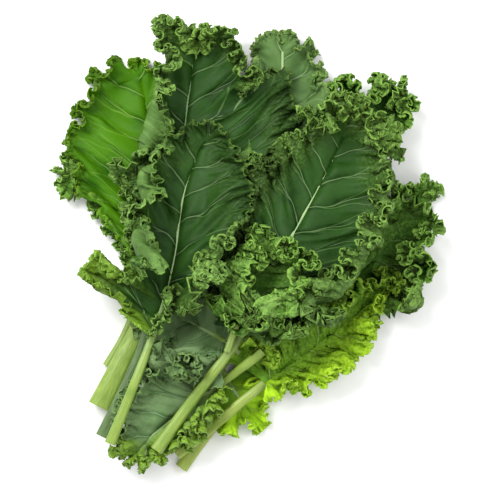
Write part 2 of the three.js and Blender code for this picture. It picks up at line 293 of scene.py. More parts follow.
LEAVES = (
    LeafPlan(
        name="far_right",
        route=(
            (-55, -178), (-34, -150), (0, -110), (44, -64), (88, -22), (124, 16), (142, 44),
        ),
        radii=(5, 1.8), blade_from=0.45,
        left=(16, 36, 40, 32, 14), right=(14, 33, 38, 27, 12),
        stalk=YELLOW_STALK, ruffles=MOSSY, tip=0.1, crumple=2.0, proud=-2.0,
        curls=(
            Curl(end=0.24, width=32, beyond=-6, turn=130, sway=40, radius=7),
            Curl(start=0.21, end=0.35, width=34, beyond=32, drift=-8, turn=130, sway=20, radius=7),
            Curl(start=0.32, end=0.39, width=34, beyond=16, turn=130, sway=20, radius=7),
            Curl(start=0.37, end=0.45, width=30, beyond=18, turn=125, sway=20),
            Curl(start=0.43, end=0.53, width=20, beyond=-8, turn=90, sway=30),
            Curl(start=0.5, end=0.57, width=20, beyond=-5, turn=90, sway=30),
            Curl(start=0.54, end=0.62, width=24, beyond=4, turn=100, sway=30),
            Curl(start=0.58, end=0.68, width=30, beyond=14, turn=115, sway=30),
            Curl(start=0.64, end=0.74, width=34, beyond=24, turn=125, sway=30, radius=7),
            Curl(start=0.7, width=36, beyond=32, turn=130, sway=40, radius=7),
        ),
        seed=11,
    ),
    LeafPlan(
        name="small_low",
        route=(
            (-27, -90), (-17, -110), (-7, -124), (1, -135),
        ),
        radii=(3, 1.4), blade_from=0.3,
        left=(8, 14, 15, 13, 8), right=(8, 13, 15, 13, 8),
        tone=Tone.TENDER, blade_slot="blade_bright", tip=1.0,
        curls=(
            Curl(end=0.16, width=12, beyond=12, turn=20, sway=50, calm=0.4, young=1.0),
            Curl(start=0.14, end=0.46, width=12, beyond=25, turn=20, sway=50, calm=0.4, young=1.0),
            Curl(start=0.4, end=0.88, width=10, beyond=15, turn=30, calm=0.4, young=1.0),
            Curl(start=0.86, width=10, beyond=34, turn=30, calm=0.4, young=0.2),
        ),
        seed=12,
    ),
    LeafPlan(
        name="left_low",
        route=(
            (-114, -97), (-99, -70), (-88, -36), (-90, -4), (-106, 24), (-126, 43), (-144, 52),
        ),
        radii=(4, 1.6), blade_from=0.36,
        left=(6, 10, 14, 18, 14), right=(10, 22, 30, 28, 18),
        curls=(
            Curl(end=0.3),
            Curl(start=0.3, end=0.6, width=14, beyond=5, turn=50, sway=50),
            Curl(start=0.58, end=0.68, width=14, beyond=-1, turn=50, sway=50),
            Curl(start=0.66, end=0.88, width=12, beyond=-9, turn=110, sway=30, radius=5),
            Curl(start=0.86, width=12, beyond=0, turn=70, sway=50, radius=5),
        ),
        seed=13,
    ),
    LeafPlan(
        name="left",
        route=(
            (-119, -129), (-103, -96), (-85, -58), (-75, -14), (-74, 32), (-77, 76), (-83, 112),
            (-88, 132),
        ),
        radii=(10, 2), blade_from=0.36,
        left=(12, 32, 66, 62, 32), right=(12, 30, 36, 34, 22),
        tone=Tone.BRIGHT, blade_slot="blade_bright", ruffles=LEAFY,
        curls=(
            Curl(end=0.53, beyond=0),
            Curl(start=0.52, end=0.66, width=16, beyond=11, turn=60, sway=50, young=-0.7),
            Curl(start=0.64, end=0.72, width=16, beyond=5, turn=60, sway=50, young=-0.6),
            Curl(start=0.7, end=0.78, width=10, beyond=-4, turn=20, sway=30, calm=0.3, young=-0.5),
            Curl(start=0.765, width=10, beyond=-20, drift=-10, turn=-10, sway=20, calm=0.8),
        ),
        seed=17,
    ),
    LeafPlan(
        name="top_right",
        route=(
            (-68, -150), (-28, -102), (14, -44), (56, 16), (88, 66), (107, 98), (116, 118),
        ),
        radii=(5, 1.8), blade_from=0.38,
        left=(20, 44, 52, 54, 34), right=(18, 36, 32, 22, 15),
        ruffles=TUFTED, tip=0.2,
        curls=(
            Curl(end=0.37, width=30, beyond=-12, turn=125, sway=25, radius=7),
            Curl(start=0.34, end=0.42, width=28, beyond=7, turn=120, sway=25),
            Curl(start=0.39, end=0.49, width=24, beyond=16, turn=90, sway=40),
            Curl(start=0.47, end=0.59, width=30, beyond=12, turn=110, sway=40),
            Curl(start=0.57, end=0.7, width=24, beyond=22, turn=80, sway=40),
            Curl(start=0.7, width=30, beyond=14, turn=115, sway=60, radius=7),
        ),
        seed=14,
    ),
    LeafPlan(
        name="top_middle",
        route=(
            (-80, -148), (-48, -94), (-18, -36), (4, 24), (18, 76), (25, 126), (26, 154),
        ),
        radii=(5, 1.8), blade_from=0.42,
        left=(16, 36, 38, 34, 22), right=(16, 34, 40, 40, 26),
        face_down=True, tone=Tone.PALE, blade_slot="blade_underside", ruffles=CALM, tip=0.55,
        curls=(
            Curl(end=0.56, width=12, beyond=3, turn=20, sway=60),
            Curl(start=0.54, end=0.74, width=16, beyond=3, turn=30, sway=60),
            Curl(start=0.72, width=12, beyond=6, turn=20, sway=60),
        ),
        seed=15,
    ),
    LeafPlan(
        name="top_left",
        route=(
            (-117, -152), (-98, -112), (-81, -70), (-67, -14), (-58, 52), (-50, 108),
            (-45, 148), (-43, 166),
        ),
        radii=(5.5, 1.8), blade_from=0.42,
        left=(16, 34, 38, 34, 24), right=(16, 42, 62, 46, 24),
        tone=Tone.DEEP, stalk=DARK_STALK, stalk_slot="stalk_dark", ruffles=TUFTED, tip=0.2,
        curls=(
            Curl(end=0.25, width=16, beyond=8, turn=60, sway=60),
            Curl(start=0.25, end=0.37, width=10, beyond=36, turn=5, sway=20, calm=0.6, young=-0.9),
            Curl(start=0.36, end=0.48, width=26, beyond=20, turn=70, sway=40, radius=7, young=-0.3),
            Curl(start=0.46, end=0.57, width=40, beyond=11, turn=110, sway=40, radius=7, young=0.3),
            Curl(start=0.54, end=0.59, width=30, beyond=9, turn=90, sway=50, radius=7),
            Curl(start=0.57, end=0.67, width=30, beyond=17, turn=90, sway=50, radius=7),
            Curl(start=0.66, end=0.77, width=44, beyond=30, turn=165, sway=8, calm=0.6),
            Curl(start=0.75, end=0.82, width=30, beyond=18, turn=120, sway=20, calm=0.3),
            Curl(start=0.8),
        ),
        seed=16,
    ),
    LeafPlan(
        name="low_right",
        route=(
            (-59, -166), (-29, -143), (-3, -121), (20, -103), (52, -80), (86, -54), (111, -32),
        ),
        radii=(5, 1.8), blade_from=0.42,
        left=(14, 34, 40, 32, 14), right=(10, 23, 27, 24, 12),
        tone=Tone.TENDER, blade_slot="blade_bright", stalk=YELLOW_STALK, ruffles=MOSSY,
        crumple=2.2, proud=-2.0,
        curls=(
            Curl(end=0.16, width=20, beyond=5, turn=30, sway=30, calm=0.2, young=1.0),
            Curl(start=0.13, end=0.24, width=20, beyond=3, turn=30, sway=35, young=1.0),
            Curl(start=0.2, end=0.34, width=20, beyond=-2, turn=30, sway=35, young=0.9),
            Curl(start=0.3, end=0.46, width=20, beyond=-7, turn=35, sway=35, young=0.8),
            Curl(start=0.43, end=0.58, width=22, beyond=0, turn=60, sway=50, young=-0.8),
            Curl(start=0.54, end=0.72, width=24, beyond=8, turn=110, sway=40, young=-0.3),
            Curl(start=0.7, end=0.92, width=20, beyond=4, turn=70, sway=40, young=0.3),
            Curl(start=0.9, width=20, beyond=34, turn=60, sway=30, young=0.3),
        ),
        seed=18,
    ),
    LeafPlan(
        name="low_left",
        route=(
            (10, -84), (-18, -106), (-44, -124), (-72, -146), (-90, -165),
        ),
        radii=(4, 1.6), blade_from=0.34,
        left=(10, 20, 24, 22, 14), right=(12, 36, 46, 38, 20),
        tone=Tone.SLATE, blade_slot="blade_underside", ruffles=TUFTED, tip=0.6,
        curls=(
            Curl(end=0.2, width=30, beyond=26, turn=80, sway=60),
            Curl(start=0.2, end=0.46, width=14, beyond=0, turn=60, sway=30, calm=0.3),
            Curl(start=0.46, width=14, beyond=1, turn=30, sway=50, young=1.0),
        ),
        seed=19,
    ),
    LeafPlan(
        name="inner_left",
        route=(
            (-8, -86), (-24, -74), (-42, -64), (-59, -58),
        ),
        radii=(2.6, 1.4), blade_from=0.24,
        left=(8, 15, 17, 15, 8), right=(8, 14, 17, 15, 9),
        tone=Tone.SLATE, blade_slot="blade_underside",
        curls=(
            Curl(end=0.46, width=20, beyond=17, turn=50, sway=60, calm=0.2),
            Curl(start=0.44, end=0.86, width=20, beyond=34, turn=40, sway=60, calm=0.2),
            Curl(start=0.84, width=16, beyond=34, turn=30, sway=50, calm=0.4),
        ),
        seed=20,
    ),
    LeafPlan(
        name="middle_right",
        route=(
            (-74, -162), (-48, -126), (-30, -102), (-3, -65), (22, -14), (44, 26), (62, 60),
            (74, 86),
        ),
        radii=(5, 1.8), blade_from=0.42,
        left=(22, 40, 48, 46, 30), right=(22, 50, 58, 56, 36),
        tone=Tone.DEEP, ruffles=TUFTED,
        curls=(
            Curl(end=0.14, width=26, beyond=14, turn=100, sway=50),
            Curl(start=0.12, end=0.27, width=54, beyond=38, turn=150, sway=30),
            Curl(start=0.25, end=0.33, width=40, beyond=30, turn=140, sway=40),
            Curl(start=0.3, end=0.38, width=30, beyond=20, turn=120, sway=40),
            Curl(start=0.35, end=0.44, width=20, beyond=13, turn=90, sway=50),
            Curl(start=0.44, end=0.6, width=26, beyond=22, turn=120, sway=40, young=0.15),
            Curl(start=0.6, end=0.69, width=12, beyond=4, turn=30, sway=60),
            Curl(start=0.67, width=12, beyond=4, turn=30, sway=60, young=-1.0),
        ),
        seed=21,
    ),
    LeafPlan(
        name="crown",
        route=(
            (-18, -84), (-11, -64), (-3, -42), (3, -22), (6, -5),
        ),
        radii=(3, 1.5), blade_from=0.28,
        left=(16, 28, 34, 32, 18), right=(18, 32, 38, 34, 20),
        ruffles=MOSSY, tip=0.3, crumple=2.0, proud=-2.5,
        curls=(
            Curl(end=0.14, width=26, beyond=12, turn=100, sway=45, radius=5),
            Curl(start=0.14, end=0.4, width=36, beyond=33, turn=125, sway=45, radius=5),
            Curl(start=0.38, end=0.86, width=36, beyond=30, turn=125, sway=45, radius=5),
            Curl(start=0.84, width=16, beyond=-4, turn=80, sway=45, radius=5),
        ),
        seed=23,
    ),
    LeafPlan(
        name="middle_left",
        route=(
            (-110, -156), (-92, -112), (-76, -70), (-62, -24), (-56, 14), (-51, 44), (-41, 72),
            (-35, 82),
        ),
        radii=(4.2, 1.8), blade_from=0.36,
        left=(12, 66, 58, 47, 45, 44, 40, 32, 20), right=(6, 20, 50, 56, 28),
        spread=(95, 105), tone=Tone.DEEP, ruffles=TUFTED,
        curls=(
            Curl(end=0.14, width=16, beyond=-16, turn=60, sway=40, calm=0.3),
            Curl(start=0.12, end=0.27, width=30, beyond=10, turn=110, sway=50),
            Curl(start=0.25, end=0.57, width=10, beyond=0, turn=-25, sway=15, calm=0.8, young=-0.7),
            Curl(start=0.555, end=0.61, width=26, beyond=16, turn=130, sway=10, calm=0.6),
            Curl(start=0.59, end=0.67, width=44, beyond=30, drift=-12, turn=168, sway=6, calm=0.8),
            Curl(start=0.65, end=0.705, width=26, beyond=4, turn=140, sway=10, calm=0.6),
            Curl(start=0.685, end=0.755, width=54, beyond=28, drift=-12, turn=172, sway=6, calm=0.8),
            Curl(start=0.735, end=0.785, width=32, beyond=6, turn=150, sway=10, calm=0.6),
            Curl(start=0.765, end=0.805, width=10, beyond=-15, turn=40, sway=30, calm=0.5, young=0.4),
            Curl(start=0.785, end=0.85, width=10, beyond=8, turn=40, sway=30, calm=0.5, young=0.8),
            Curl(start=0.83, width=14, beyond=-32, turn=60, sway=20, calm=0.9, young=0.8),
        ),
        seed=22,
    ),
)


# --------------------------------------------------------------------------------------
# Curves and noise
# --------------------------------------------------------------------------------------


def catmull(points: Array, at: Array) -> Array:
    """Reads a uniform Catmull-Rom spline.

    Args:
        points: The points that it passes through, one a row.
        at: Fractions of the way along it, from 0 to 1.

    Returns:
        One row for each fraction.
    """
    last = len(points) - 1
    place = np.clip(at, 0, 1) * last
    index = np.minimum(place.astype(int), last - 1)
    t = (place - index)[:, None]
    before = points[np.maximum(index - 1, 0)]
    start = points[index]
    end = points[index + 1]
    after = points[np.minimum(index + 2, last)]
    into = (end - before) / 2
    out = (after - start) / 2
    cubic = (2 * start - 2 * end + into + out) * t**3
    square = (-3 * start + 3 * end - 2 * into - out) * t**2
    return cubic + square + into * t + start


def wander(rng: np.random.Generator, count: int, period: float) -> Array:
    """Makes a smooth random line between -1 and 1.

    Args:
        rng: The source of randomness.
        count: How many values the line has.
        period: How many values lie between two of its random heights.

    Returns:
        The values.
    """
    knots = max(int(round(count / period)), 3)
    heights = rng.uniform(-1, 1, (knots + 1, 1))
    return catmull(heights, np.linspace(0, 1, count))[:, 0]


class Route:
    """A stalk's run seen from above, measured by its length."""

    def __init__(self, points: tuple[tuple[float, float], ...]) -> None:
        """Samples the spline through the points finely.

        Args:
            points: The places that the run passes through.
        """
        fine = catmull(np.array(points, float), np.linspace(0, 1, 801)) + PLAN_SHIFT
        steps = np.linalg.norm(np.diff(fine, axis=0), axis=1)
        self.walked = np.concatenate([[0], np.cumsum(steps)])
        self.fine = fine
        self.length = float(self.walked[-1])

    def at(self, fraction: Array) -> Array:
        """The places at fractions of the length."""
        walked = np.asarray(fraction) * self.length
        return np.stack([np.interp(walked, self.walked, self.fine[:, i]) for i in (0, 1)], -1)

    def ahead(self, fraction: Array) -> Array:
        """The unit directions of travel at fractions of the length.

        Args:
            fraction: The fractions.

        Returns:
            One direction for each.
        """
        low = np.clip(np.asarray(fraction) - 0.004, 0, 1)
        high = np.clip(np.asarray(fraction) + 0.004, 0, 1)
        step = self.at(high) - self.at(low)
        return step / np.linalg.norm(step, axis=-1, keepdims=True)


# --------------------------------------------------------------------------------------
# The solids, as surfaces to lie on and under
# --------------------------------------------------------------------------------------


class Solid:
    """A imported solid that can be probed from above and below. Millimetres."""

    FAR = 500.0

    def __init__(self, node: str) -> None:
        """Reads the node's triangles.

        Args:
            node: The node's name.
        """
        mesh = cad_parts[node].data
        flat = np.empty(len(mesh.vertices) * 3)
        mesh.vertices.foreach_get("co", flat)
        self.points = flat.reshape(-1, 3) / MM
        mesh.calc_loop_triangles()
        corners = np.empty(len(mesh.loop_triangles) * 3, int)
        mesh.loop_triangles.foreach_get("vertices", corners)
        self.triangles = corners.reshape(-1, 3)
        self.tree = BVHTree.FromPolygons(self.points.tolist(), self.triangles.tolist())

    def span(self, x: float, y: float) -> tuple[float, float]:
        """The lowest and highest heights of the solid at a place, or two NaNs beside it.

        Args:
            x: The place to the right.
            y: The place ahead.

        Returns:
            The lowest and the highest height.
        """
        above = self.tree.ray_cast(Vector((x, y, self.FAR)), Vector((0, 0, -1)))[0]
        below = self.tree.ray_cast(Vector((x, y, -self.FAR)), Vector((0, 0, 1)))[0]
        if above is None or below is None:
            return (math.nan, math.nan)
        return (below.z, above.z)


class HeightMap:
    """A square grid of heights over the whole bunch. Millimetres."""

    CELL = 2.0
    REACH = 240.0
    SAMPLES = 12

    def __init__(self, start: float) -> None:
        """Begins with one height everywhere."""
        side = int(2 * self.REACH / self.CELL)
        self.heights = np.full((side, side), start, np.float32)

    def cells(self, places: Array) -> tuple[Array, Array]:
        """The rows and columns of the cells that hold some places.

        Args:
            places: The places, whose last axis holds x, y and perhaps z.

        Returns:
            The rows and the columns.
        """
        index = ((places[..., :2] + self.REACH) / self.CELL).astype(int)
        index = np.clip(index, 0, len(self.heights) - 1)
        return index[..., 1], index[..., 0]

    def at(self, places: Array) -> Array:
        """The heights at some places."""
        return self.heights[self.cells(places)]

    def take(self, solid: Solid, keep: np.ufunc) -> None:
        """Lets a solid's surface into the map.

        Args:
            solid: The solid.
            keep: np.maximum for its top, np.minimum for its underside.
        """
        a, b, c = (solid.points[solid.triangles[:, i]] for i in range(3))
        for i in range(self.SAMPLES + 1):
            for j in range(self.SAMPLES + 1 - i):
                place = a + (b - a) * (i / self.SAMPLES) + (c - a) * (j / self.SAMPLES)
                keep.at(self.heights, self.cells(place), place[:, 2].astype(np.float32))

    def swollen(self, cells: int) -> "HeightMap":
        """A copy in which each height has spread to the cells around it.

        Args:
            cells: How many cells far the heights spread.

        Returns:
            The copy.
        """
        copy = HeightMap(0.0)
        side = len(self.heights)
        padded = np.pad(self.heights, cells, mode="edge")
        for i in range(2 * cells + 1):
            for j in range(2 * cells + 1):
                np.maximum(copy.heights, padded[i:i + side, j:j + side], out=copy.heights)
        return copy

    def rise(self, points: Array) -> None:
        """Lifts the map to a grid of points, filling in between its columns.

        Args:
            points: The grid.
        """
        lines = np.moveaxis(points, 1, 0)
        for inner, outer in zip(lines[1:], lines):
            steps = int(np.linalg.norm(outer - inner, axis=-1).max() / self.CELL * 1.5) + 1
            for part in np.linspace(0, 1, steps, endpoint=False):
                place = inner + (outer - inner) * part
                np.maximum.at(self.heights, self.cells(place), place[:, 2].astype(np.float32))


# --------------------------------------------------------------------------------------
# The growing sheet
# --------------------------------------------------------------------------------------


def draw_together(
    a: Array, b: Array, length: Array, firmness: float, push_only: bool = False,
) -> None:
    """Moves pairs of points so that each pair is its own length apart.

    Args:
        a: The first points, moved in place.
        b: The second points, moved in place.
        length: The length for each pair.
        firmness: The share of the error that is taken out.
        push_only: Whether pairs that are too far apart are left alone.
    """
    gap = b - a
    now = np.sqrt(np.einsum("...i,...i->...", gap, gap)) + 1e-9
    share = (now - length) / now * (0.5 * firmness)
    if push_only:
        share = np.minimum(share, 0)
    gap *= share[..., None]
    a += gap
    b -= gap


def even_pairs(sheet: Array, axis: int, step: int) -> list[tuple[Array, Array, int]]:
    """Splits the pairs of grid points that are some steps apart into groups.

    No two pairs of a group share a point, so that a group can be moved at once.

    Args:
        sheet: The grid of points.
        axis: 0 for pairs along the margin, 1 for pairs along the rows.
        step: How many steps apart the two points of a pair are.

    Returns:
        The two ends of each group's pairs and where the group starts.
    """
    groups = []
    for start in range(2 * step):
        if axis == 0:
            a, b = sheet[start:-step:2 * step], sheet[start + step::2 * step]
        else:
            a, b = sheet[:, start:-step:2 * step], sheet[:, start + step::2 * step]
        groups.append((a, b, start))
    return groups


@dataclass
class GrowingSheet:
    """A grid of points that swells along its margin and buckles, as a leaf does.

    points is a grid of rows by columns. Rows run from the midrib, whose columns are held, to the
    margin. along and outward are the flat distances between neighbours in the two directions,
    bend_along and bend_outward how stiff the sheet is in each, and shear how firmly its squares
    keep their shape. The growth is over after growing_share of the rounds.
    """

    points: Array
    along: Array
    outward: Array
    bend_along: float
    bend_outward: float = 0.15
    shear: float = 0.25
    held_columns: int = 2
    growing_share: float = 0.7

    def relax(
        self, before: Array, after: Array, rounds: int, settle: Callable[[Array], None],
    ) -> None:
        """Grows the sheet from one set of growth factors to another.

        Args:
            before: The growth of each step along the margin at the start.
            after: The growth at the end.
            rounds: How many rounds of relaxation to run.
            settle: Called with the points after each round, to keep them where they may be.
        """
        points = self.points
        held = points[:, :self.held_columns].copy()
        outward_two = self.outward[:, :-1] + self.outward[:, 1:]
        for turn in range(rounds):
            grown = min(1.0, (turn + 1) / (self.growing_share * rounds))
            along = (self.along * (before + (after - before) * grown)).astype(np.float32)
            for a, b, start in even_pairs(points, 0, 1):
                draw_together(a, b, along[start::2][:len(a)], 1.0)
            for a, b, start in even_pairs(points, 1, 1):
                draw_together(a, b, self.outward[:, start::2][:, :a.shape[1]], 1.0)
            slant = np.sqrt((0.5 * (along[:, 1:] + along[:, :-1])) ** 2 + self.outward[:-1] ** 2)
            for start in (0, 1):
                lower, upper = points[start:-1:2], points[start + 1::2]
                rest = slant[start::2]
                draw_together(lower[:, :-1], upper[:, 1:], rest, self.shear)
                draw_together(lower[:, 1:], upper[:, :-1], rest, self.shear)
            along_two = along[:-1] + along[1:]
            for a, b, start in even_pairs(points, 0, 2):
                draw_together(a, b, along_two[start::4][:len(a)], self.bend_along, True)
            for a, b, start in even_pairs(points, 1, 2):
                rest = outward_two[:, start::4][:, :a.shape[1]]
                draw_together(a, b, rest, self.bend_outward, True)
            points[:, :self.held_columns] = held
            settle(points)


# --------------------------------------------------------------------------------------
# Shaders
# --------------------------------------------------------------------------------------


class Signal:
    """A socket whose value can be used in Python arithmetic."""

    def __init__(self, shader: "Shader", socket: bpy.types.NodeSocket) -> None:
        """Wraps an output socket."""
        self.shader = shader
        self.socket = socket

    def math(self, operation: str, *others: "Signal | float") -> "Signal":
        """Adds a Math node with this value first."""
        return self.shader.math(operation, self, *others)

    def __add__(self, other: "Signal | float") -> "Signal":
        """Sum."""
        return self.math("ADD", other)

    def __sub__(self, other: "Signal | float") -> "Signal":
        """Difference."""
        return self.math("SUBTRACT", other)

    def __mul__(self, other: "Signal | float") -> "Signal":
        """Product."""
        return self.math("MULTIPLY", other)

    def __truediv__(self, other: "Signal | float") -> "Signal":
        """Quotient."""
        return self.math("DIVIDE", other)

    def __rsub__(self, other: float) -> "Signal":
        """A number less this value."""
        return self.shader.math("SUBTRACT", other, self)

    __radd__ = __add__
    __rmul__ = __mul__

    def between(self, low: float, high: float) -> "Signal":
        """Rises smoothly from 0 at low to 1 at high.

        Args:
            low: Where the rise begins.
            high: Where it ends.

        Returns:
            A value from 0 to 1.
        """
        values = {"Value": self, "From Min": low, "From Max": high}
        settings = {"interpolation_type": "SMOOTHSTEP"}
        return self.shader.node("ShaderNodeMapRange", values, settings)


class Shader:
    """A material under construction."""

    def __init__(self, name: str) -> None:
        """Starts an empty material.

        Args:
            name: The material's name.
        """
        self.material = bpy.data.materials.new(name)
        self.material.use_nodes = True
        self.tree = self.material.node_tree
        self.tree.nodes.clear()

    def node(
        self, kind: str, values: dict | None = None, settings: dict | None = None,
        output: int | str = 0,
    ) -> Signal:
        """Adds a node.

        Args:
            kind: The node's type.
            values: Numbers, colours or signals for its input sockets, by name or position.
            settings: Its properties, which are set first.
            output: Which output to give back.

        Returns:
            The chosen output.
        """
        node = self.tree.nodes.new(kind)
        for name, value in (settings or {}).items():
            setattr(node, name, value)
        for name, value in (values or {}).items():
            if isinstance(value, Signal):
                self.tree.links.new(value.socket, node.inputs[name])
            else:
                node.inputs[name].default_value = value
        return Signal(self, node.outputs[output])

    def math(self, operation: str, *values: Signal | float) -> Signal:
        """Adds a Math node."""
        settings = {"operation": operation}
        return self.node("ShaderNodeMath", dict(enumerate(values)), settings)

    def attribute(self, name: str) -> Signal:
        """A number stored on the mesh."""
        return self.node("ShaderNodeAttribute", settings={"attribute_name": name}, output="Fac")

    def place(self) -> Signal:
        """The place on the piece, in metres."""
        return self.node("ShaderNodeTexCoord", output="Object")

    def mix(self, factor: Signal | float, a: Signal | Colour, b: Signal | Colour) -> Signal:
        """A colour between two colours."""
        values = {0: factor, 6: self.colour(a), 7: self.colour(b)}
        return self.node("ShaderNodeMix", values, {"data_type": "RGBA"}, 2)

    @staticmethod
    def colour(value: Signal | Colour) -> Signal | tuple[float, float, float, float]:
        """Gives a plain colour its fourth channel."""
        return value if isinstance(value, Signal) else (*value, 1.0)

    def noise(self, place: Signal, scale: float, detail: float = 2.0) -> Signal:
        """Soft noise between 0 and 1."""
        values = {"Vector": place, "Scale": scale, "Detail": detail}
        return self.node("ShaderNodeTexNoise", values, output="Fac")

    def bump(self, height: Signal, strength: float, distance: float) -> Signal:
        """A normal that stands for small relief, whose full height is distance, in metres."""
        values = {"Strength": strength, "Distance": distance, "Height": height}
        return self.node("ShaderNodeBump", values)

    def finish(self, surface: Signal) -> bpy.types.Material:
        """Puts a surface out and gives the material back.

        Args:
            surface: What the material shows.

        Returns:
            The material.
        """
        output = self.tree.nodes.new("ShaderNodeOutputMaterial")
        self.tree.links.new(surface.socket, output.inputs["Surface"])
        return self.material


def veins(shader: Shader, along: Signal, across: Signal, rim: Signal) -> tuple[Signal, Signal]:
    """Draws the side veins, which slant forwards from the midrib and fork once.

    Args:
        shader: The material under construction.
        along: The distance along the midrib, in millimetres.
        across: The distance from it.
        rim: The distance from the margin.

    Returns:
        How much a place lies on a vein, and how far it bulges between two veins.
    """
    gap, slant, wobble = 23.0, 0.95, 11.0
    fork_from, fork_lead, fork_wobble = 16.0, 6.0, 20.0
    away = across.math("ABSOLUTE")
    place = shader.node("ShaderNodeCombineXYZ", {0: along, 1: across, 2: 0.0})
    sway = shader.noise(place, 0.035, 1) - 0.5
    lean = along - away * slant + sway * wobble + across.math("SIGN") * 4.0
    cell = (lean / gap).math("FRACT")
    middle = ((cell - 0.5).math("ABSOLUTE") * -1.0 + 0.5) * gap
    start = away - fork_from + sway * fork_wobble
    ahead = (cell * gap - start * 0.3).math("ABSOLUTE")
    behind = ((1 - cell) * gap - (start + fork_lead) * 0.26).math("ABSOLUTE")
    forked = (1 - ahead.between(0.2, 0.6)) * start.between(0, 1.5)
    back = (1 - behind.between(0.2, 0.6)) * (start + fork_lead).between(0, 1.5)
    width = (0.8 - away / 80).math("MAXIMUM", 0.25)
    main = 1 - (middle / width).between(0.35, 0.95)
    vein = main.math("MAXIMUM", forked * 0.5).math("MAXIMUM", back * 0.5) * rim.between(1.0, 12.0)
    return vein, (middle * 0.25).math("MINIMUM", 1.0)


def darker(colour: Colour, share: float) -> Colour:
    """A share of a colour."""
    return tuple(share * part for part in colour)


def blade_material(name: str, finish: BladeFinish, upper: bool) -> bpy.types.Material:
    """Makes the material of one side of a blade.

    Args:
        name: The material's name.
        finish: The blade's colours.
        upper: Whether this is the side that is coloured deep to light.

    Returns:
        The material.
    """
    shader = Shader(name)
    place = shader.place()
    rim = shader.attribute("rim")
    tender = shader.attribute("tender")
    frizz = shader.attribute("frizz") * finish.crimped
    vein, quilt = veins(shader, shader.attribute("along"), shader.attribute("across"), rim)
    mottle = shader.noise(place, 42, 3)
    speckle = shader.noise(place, 420, 3)
    crimp = shader.noise(place, 360, 1)
    # Random mottling, with painted shade from quilt: darker in the dips beside the veins and lighter
    # on the bulges between them.
    mottle_and_shade = (mottle * 0.8 + speckle * 0.25 + quilt * 0.25).between(0.42, 0.84)
    if upper:
        ground = shader.mix(mottle_and_shade, finish.deep, finish.light)
    else:
        ground = shader.mix(mottle_and_shade * 0.5, finish.below, finish.light)
    ground = shader.mix(tender * (mottle_and_shade * 0.4 + 0.6), ground, finish.young)
    # Painted shade: the pits of the frizz, where the crimp noise is low and the bump sinks, are
    # darkened towards a share of deep.
    pits = (1 - crimp.between(0.38, 0.52)) * frizz
    ground = shader.mix(pits * 0.5, ground, darker(finish.deep, 0.4))
    # Painted highlight: the crests of the frizz's crimps, where the bump rises, turn towards the rim
    # colour, and the frizz as a whole turns a little paler, partly its own colour and partly painted
    # highlight.
    ground = shader.mix(crimp.between(0.52, 0.64) * frizz * 0.24, ground, finish.rim)
    ground = shader.mix(frizz * 0.2, ground, finish.rim)
    # The margin turns paler towards the rim colour, partly its own paler colour and partly a painted
    # highlight on its lit edges.
    edge = 1 - (rim + speckle * 3.0).between(1.0, 4.5)
    ground = shader.mix(edge * 0.55, ground, finish.rim)
    ground = shader.mix(vein * 0.62, ground, finish.vein)
    # Painted shade: stretches whose young share is below zero are darkened towards a share of deep.
    ground = shader.mix(tender * -0.65, ground, darker(finish.deep, 0.5))
    relief = quilt * 1.0 + speckle * 0.15 - vein * 0.2 + crimp.between(0.35, 0.65) * frizz * 2.0
    normal = shader.bump(relief, 0.5, 0.001)
    body = shader.node("ShaderNodeBsdfPrincipled", {
        "Base Color": ground,
        "Roughness": speckle * 0.25 + (finish.roughness - 0.1),
        "Specular IOR Level": 0.14,
        "Normal": normal,
    })
    light = shader.node("ShaderNodeBsdfTranslucent", {
        "Color": shader.colour(finish.glow), "Normal": normal,
    })
    values = {0: finish.see_through, 1: body, 2: light}
    return shader.finish(shader.node("ShaderNodeMixShader", values))


def stalk_material(name: str, finish: StalkFinish) -> bpy.types.Material:
    """Makes a stalk's material: fibres along its run and a paler cut end.

    Args:
        name: The material's name.
        finish: The stalk's colours.

    Returns:
        The material.
    """
    shader = Shader(name)
    flat = shader.node("ShaderNodeUVMap", settings={"uv_map": "UVMap"})
    stretched = shader.node("ShaderNodeMapping", {"Vector": flat, "Scale": (9.0, 0.5, 1.0)})
    fibre = shader.noise(stretched, 2.0, 4)
    blotch = shader.noise(shader.place(), 60, 2)
    skin = shader.mix((fibre * 0.7 + blotch * 0.4).between(0.3, 0.8), finish.skin, finish.streak)
    skin = shader.mix(shader.attribute("run").between(0.25, 0.6), skin, finish.rib)
    ground = shader.mix(shader.attribute("cut"), skin, finish.cut)
    body = shader.node("ShaderNodeBsdfPrincipled", {
        "Base Color": ground,
        "Roughness": fibre * 0.2 + (finish.roughness - 0.1),
        "Subsurface Weight": 0.08,
        "Subsurface Scale": 0.004,
        "Subsurface Radius": (0.6, 1.0, 0.3),
        "Normal": shader.bump(fibre, 0.3, 0.0005),
    })
    return shader.finish(body)


# --------------------------------------------------------------------------------------
# Leaves
# --------------------------------------------------------------------------------------


class Pick(Enum):
    """What is selected in edit mode."""

    FACE = "faces"
    EDGE = "edges"


def select(mesh: bpy.types.Mesh, pick: Pick, chosen: Callable[..., bool]) -> None:
    """Selects only some of a mesh's faces or edges, in edit mode.

    Args:
        mesh: The mesh.
        pick: Whether faces or edges are selected.
        chosen: Says of a face or an edge whether it is one of them.
    """
    bpy.ops.mesh.select_all(action="DESELECT")
    bpy.ops.mesh.select_mode(type=pick.name)
    form = bmesh.from_edit_mesh(mesh)
    for part in getattr(form, pick.value):
        part.select_set(chosen(part))
    bmesh.update_edit_mesh(mesh)


def store(mesh: bpy.types.Mesh, name: str, values: Array) -> None:
    """Keeps one number for each vertex on a mesh."""
    layer = mesh.attributes.new(name, "FLOAT", "POINT")
    layer.data.foreach_set("value", np.ascontiguousarray(values, np.float32).ravel())


def adopt(piece: bpy.types.Object, node: str, slot: str) -> None:
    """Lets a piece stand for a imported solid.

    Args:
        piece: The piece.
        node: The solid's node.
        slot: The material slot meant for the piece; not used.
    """
    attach(piece, "root")
    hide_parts(node)


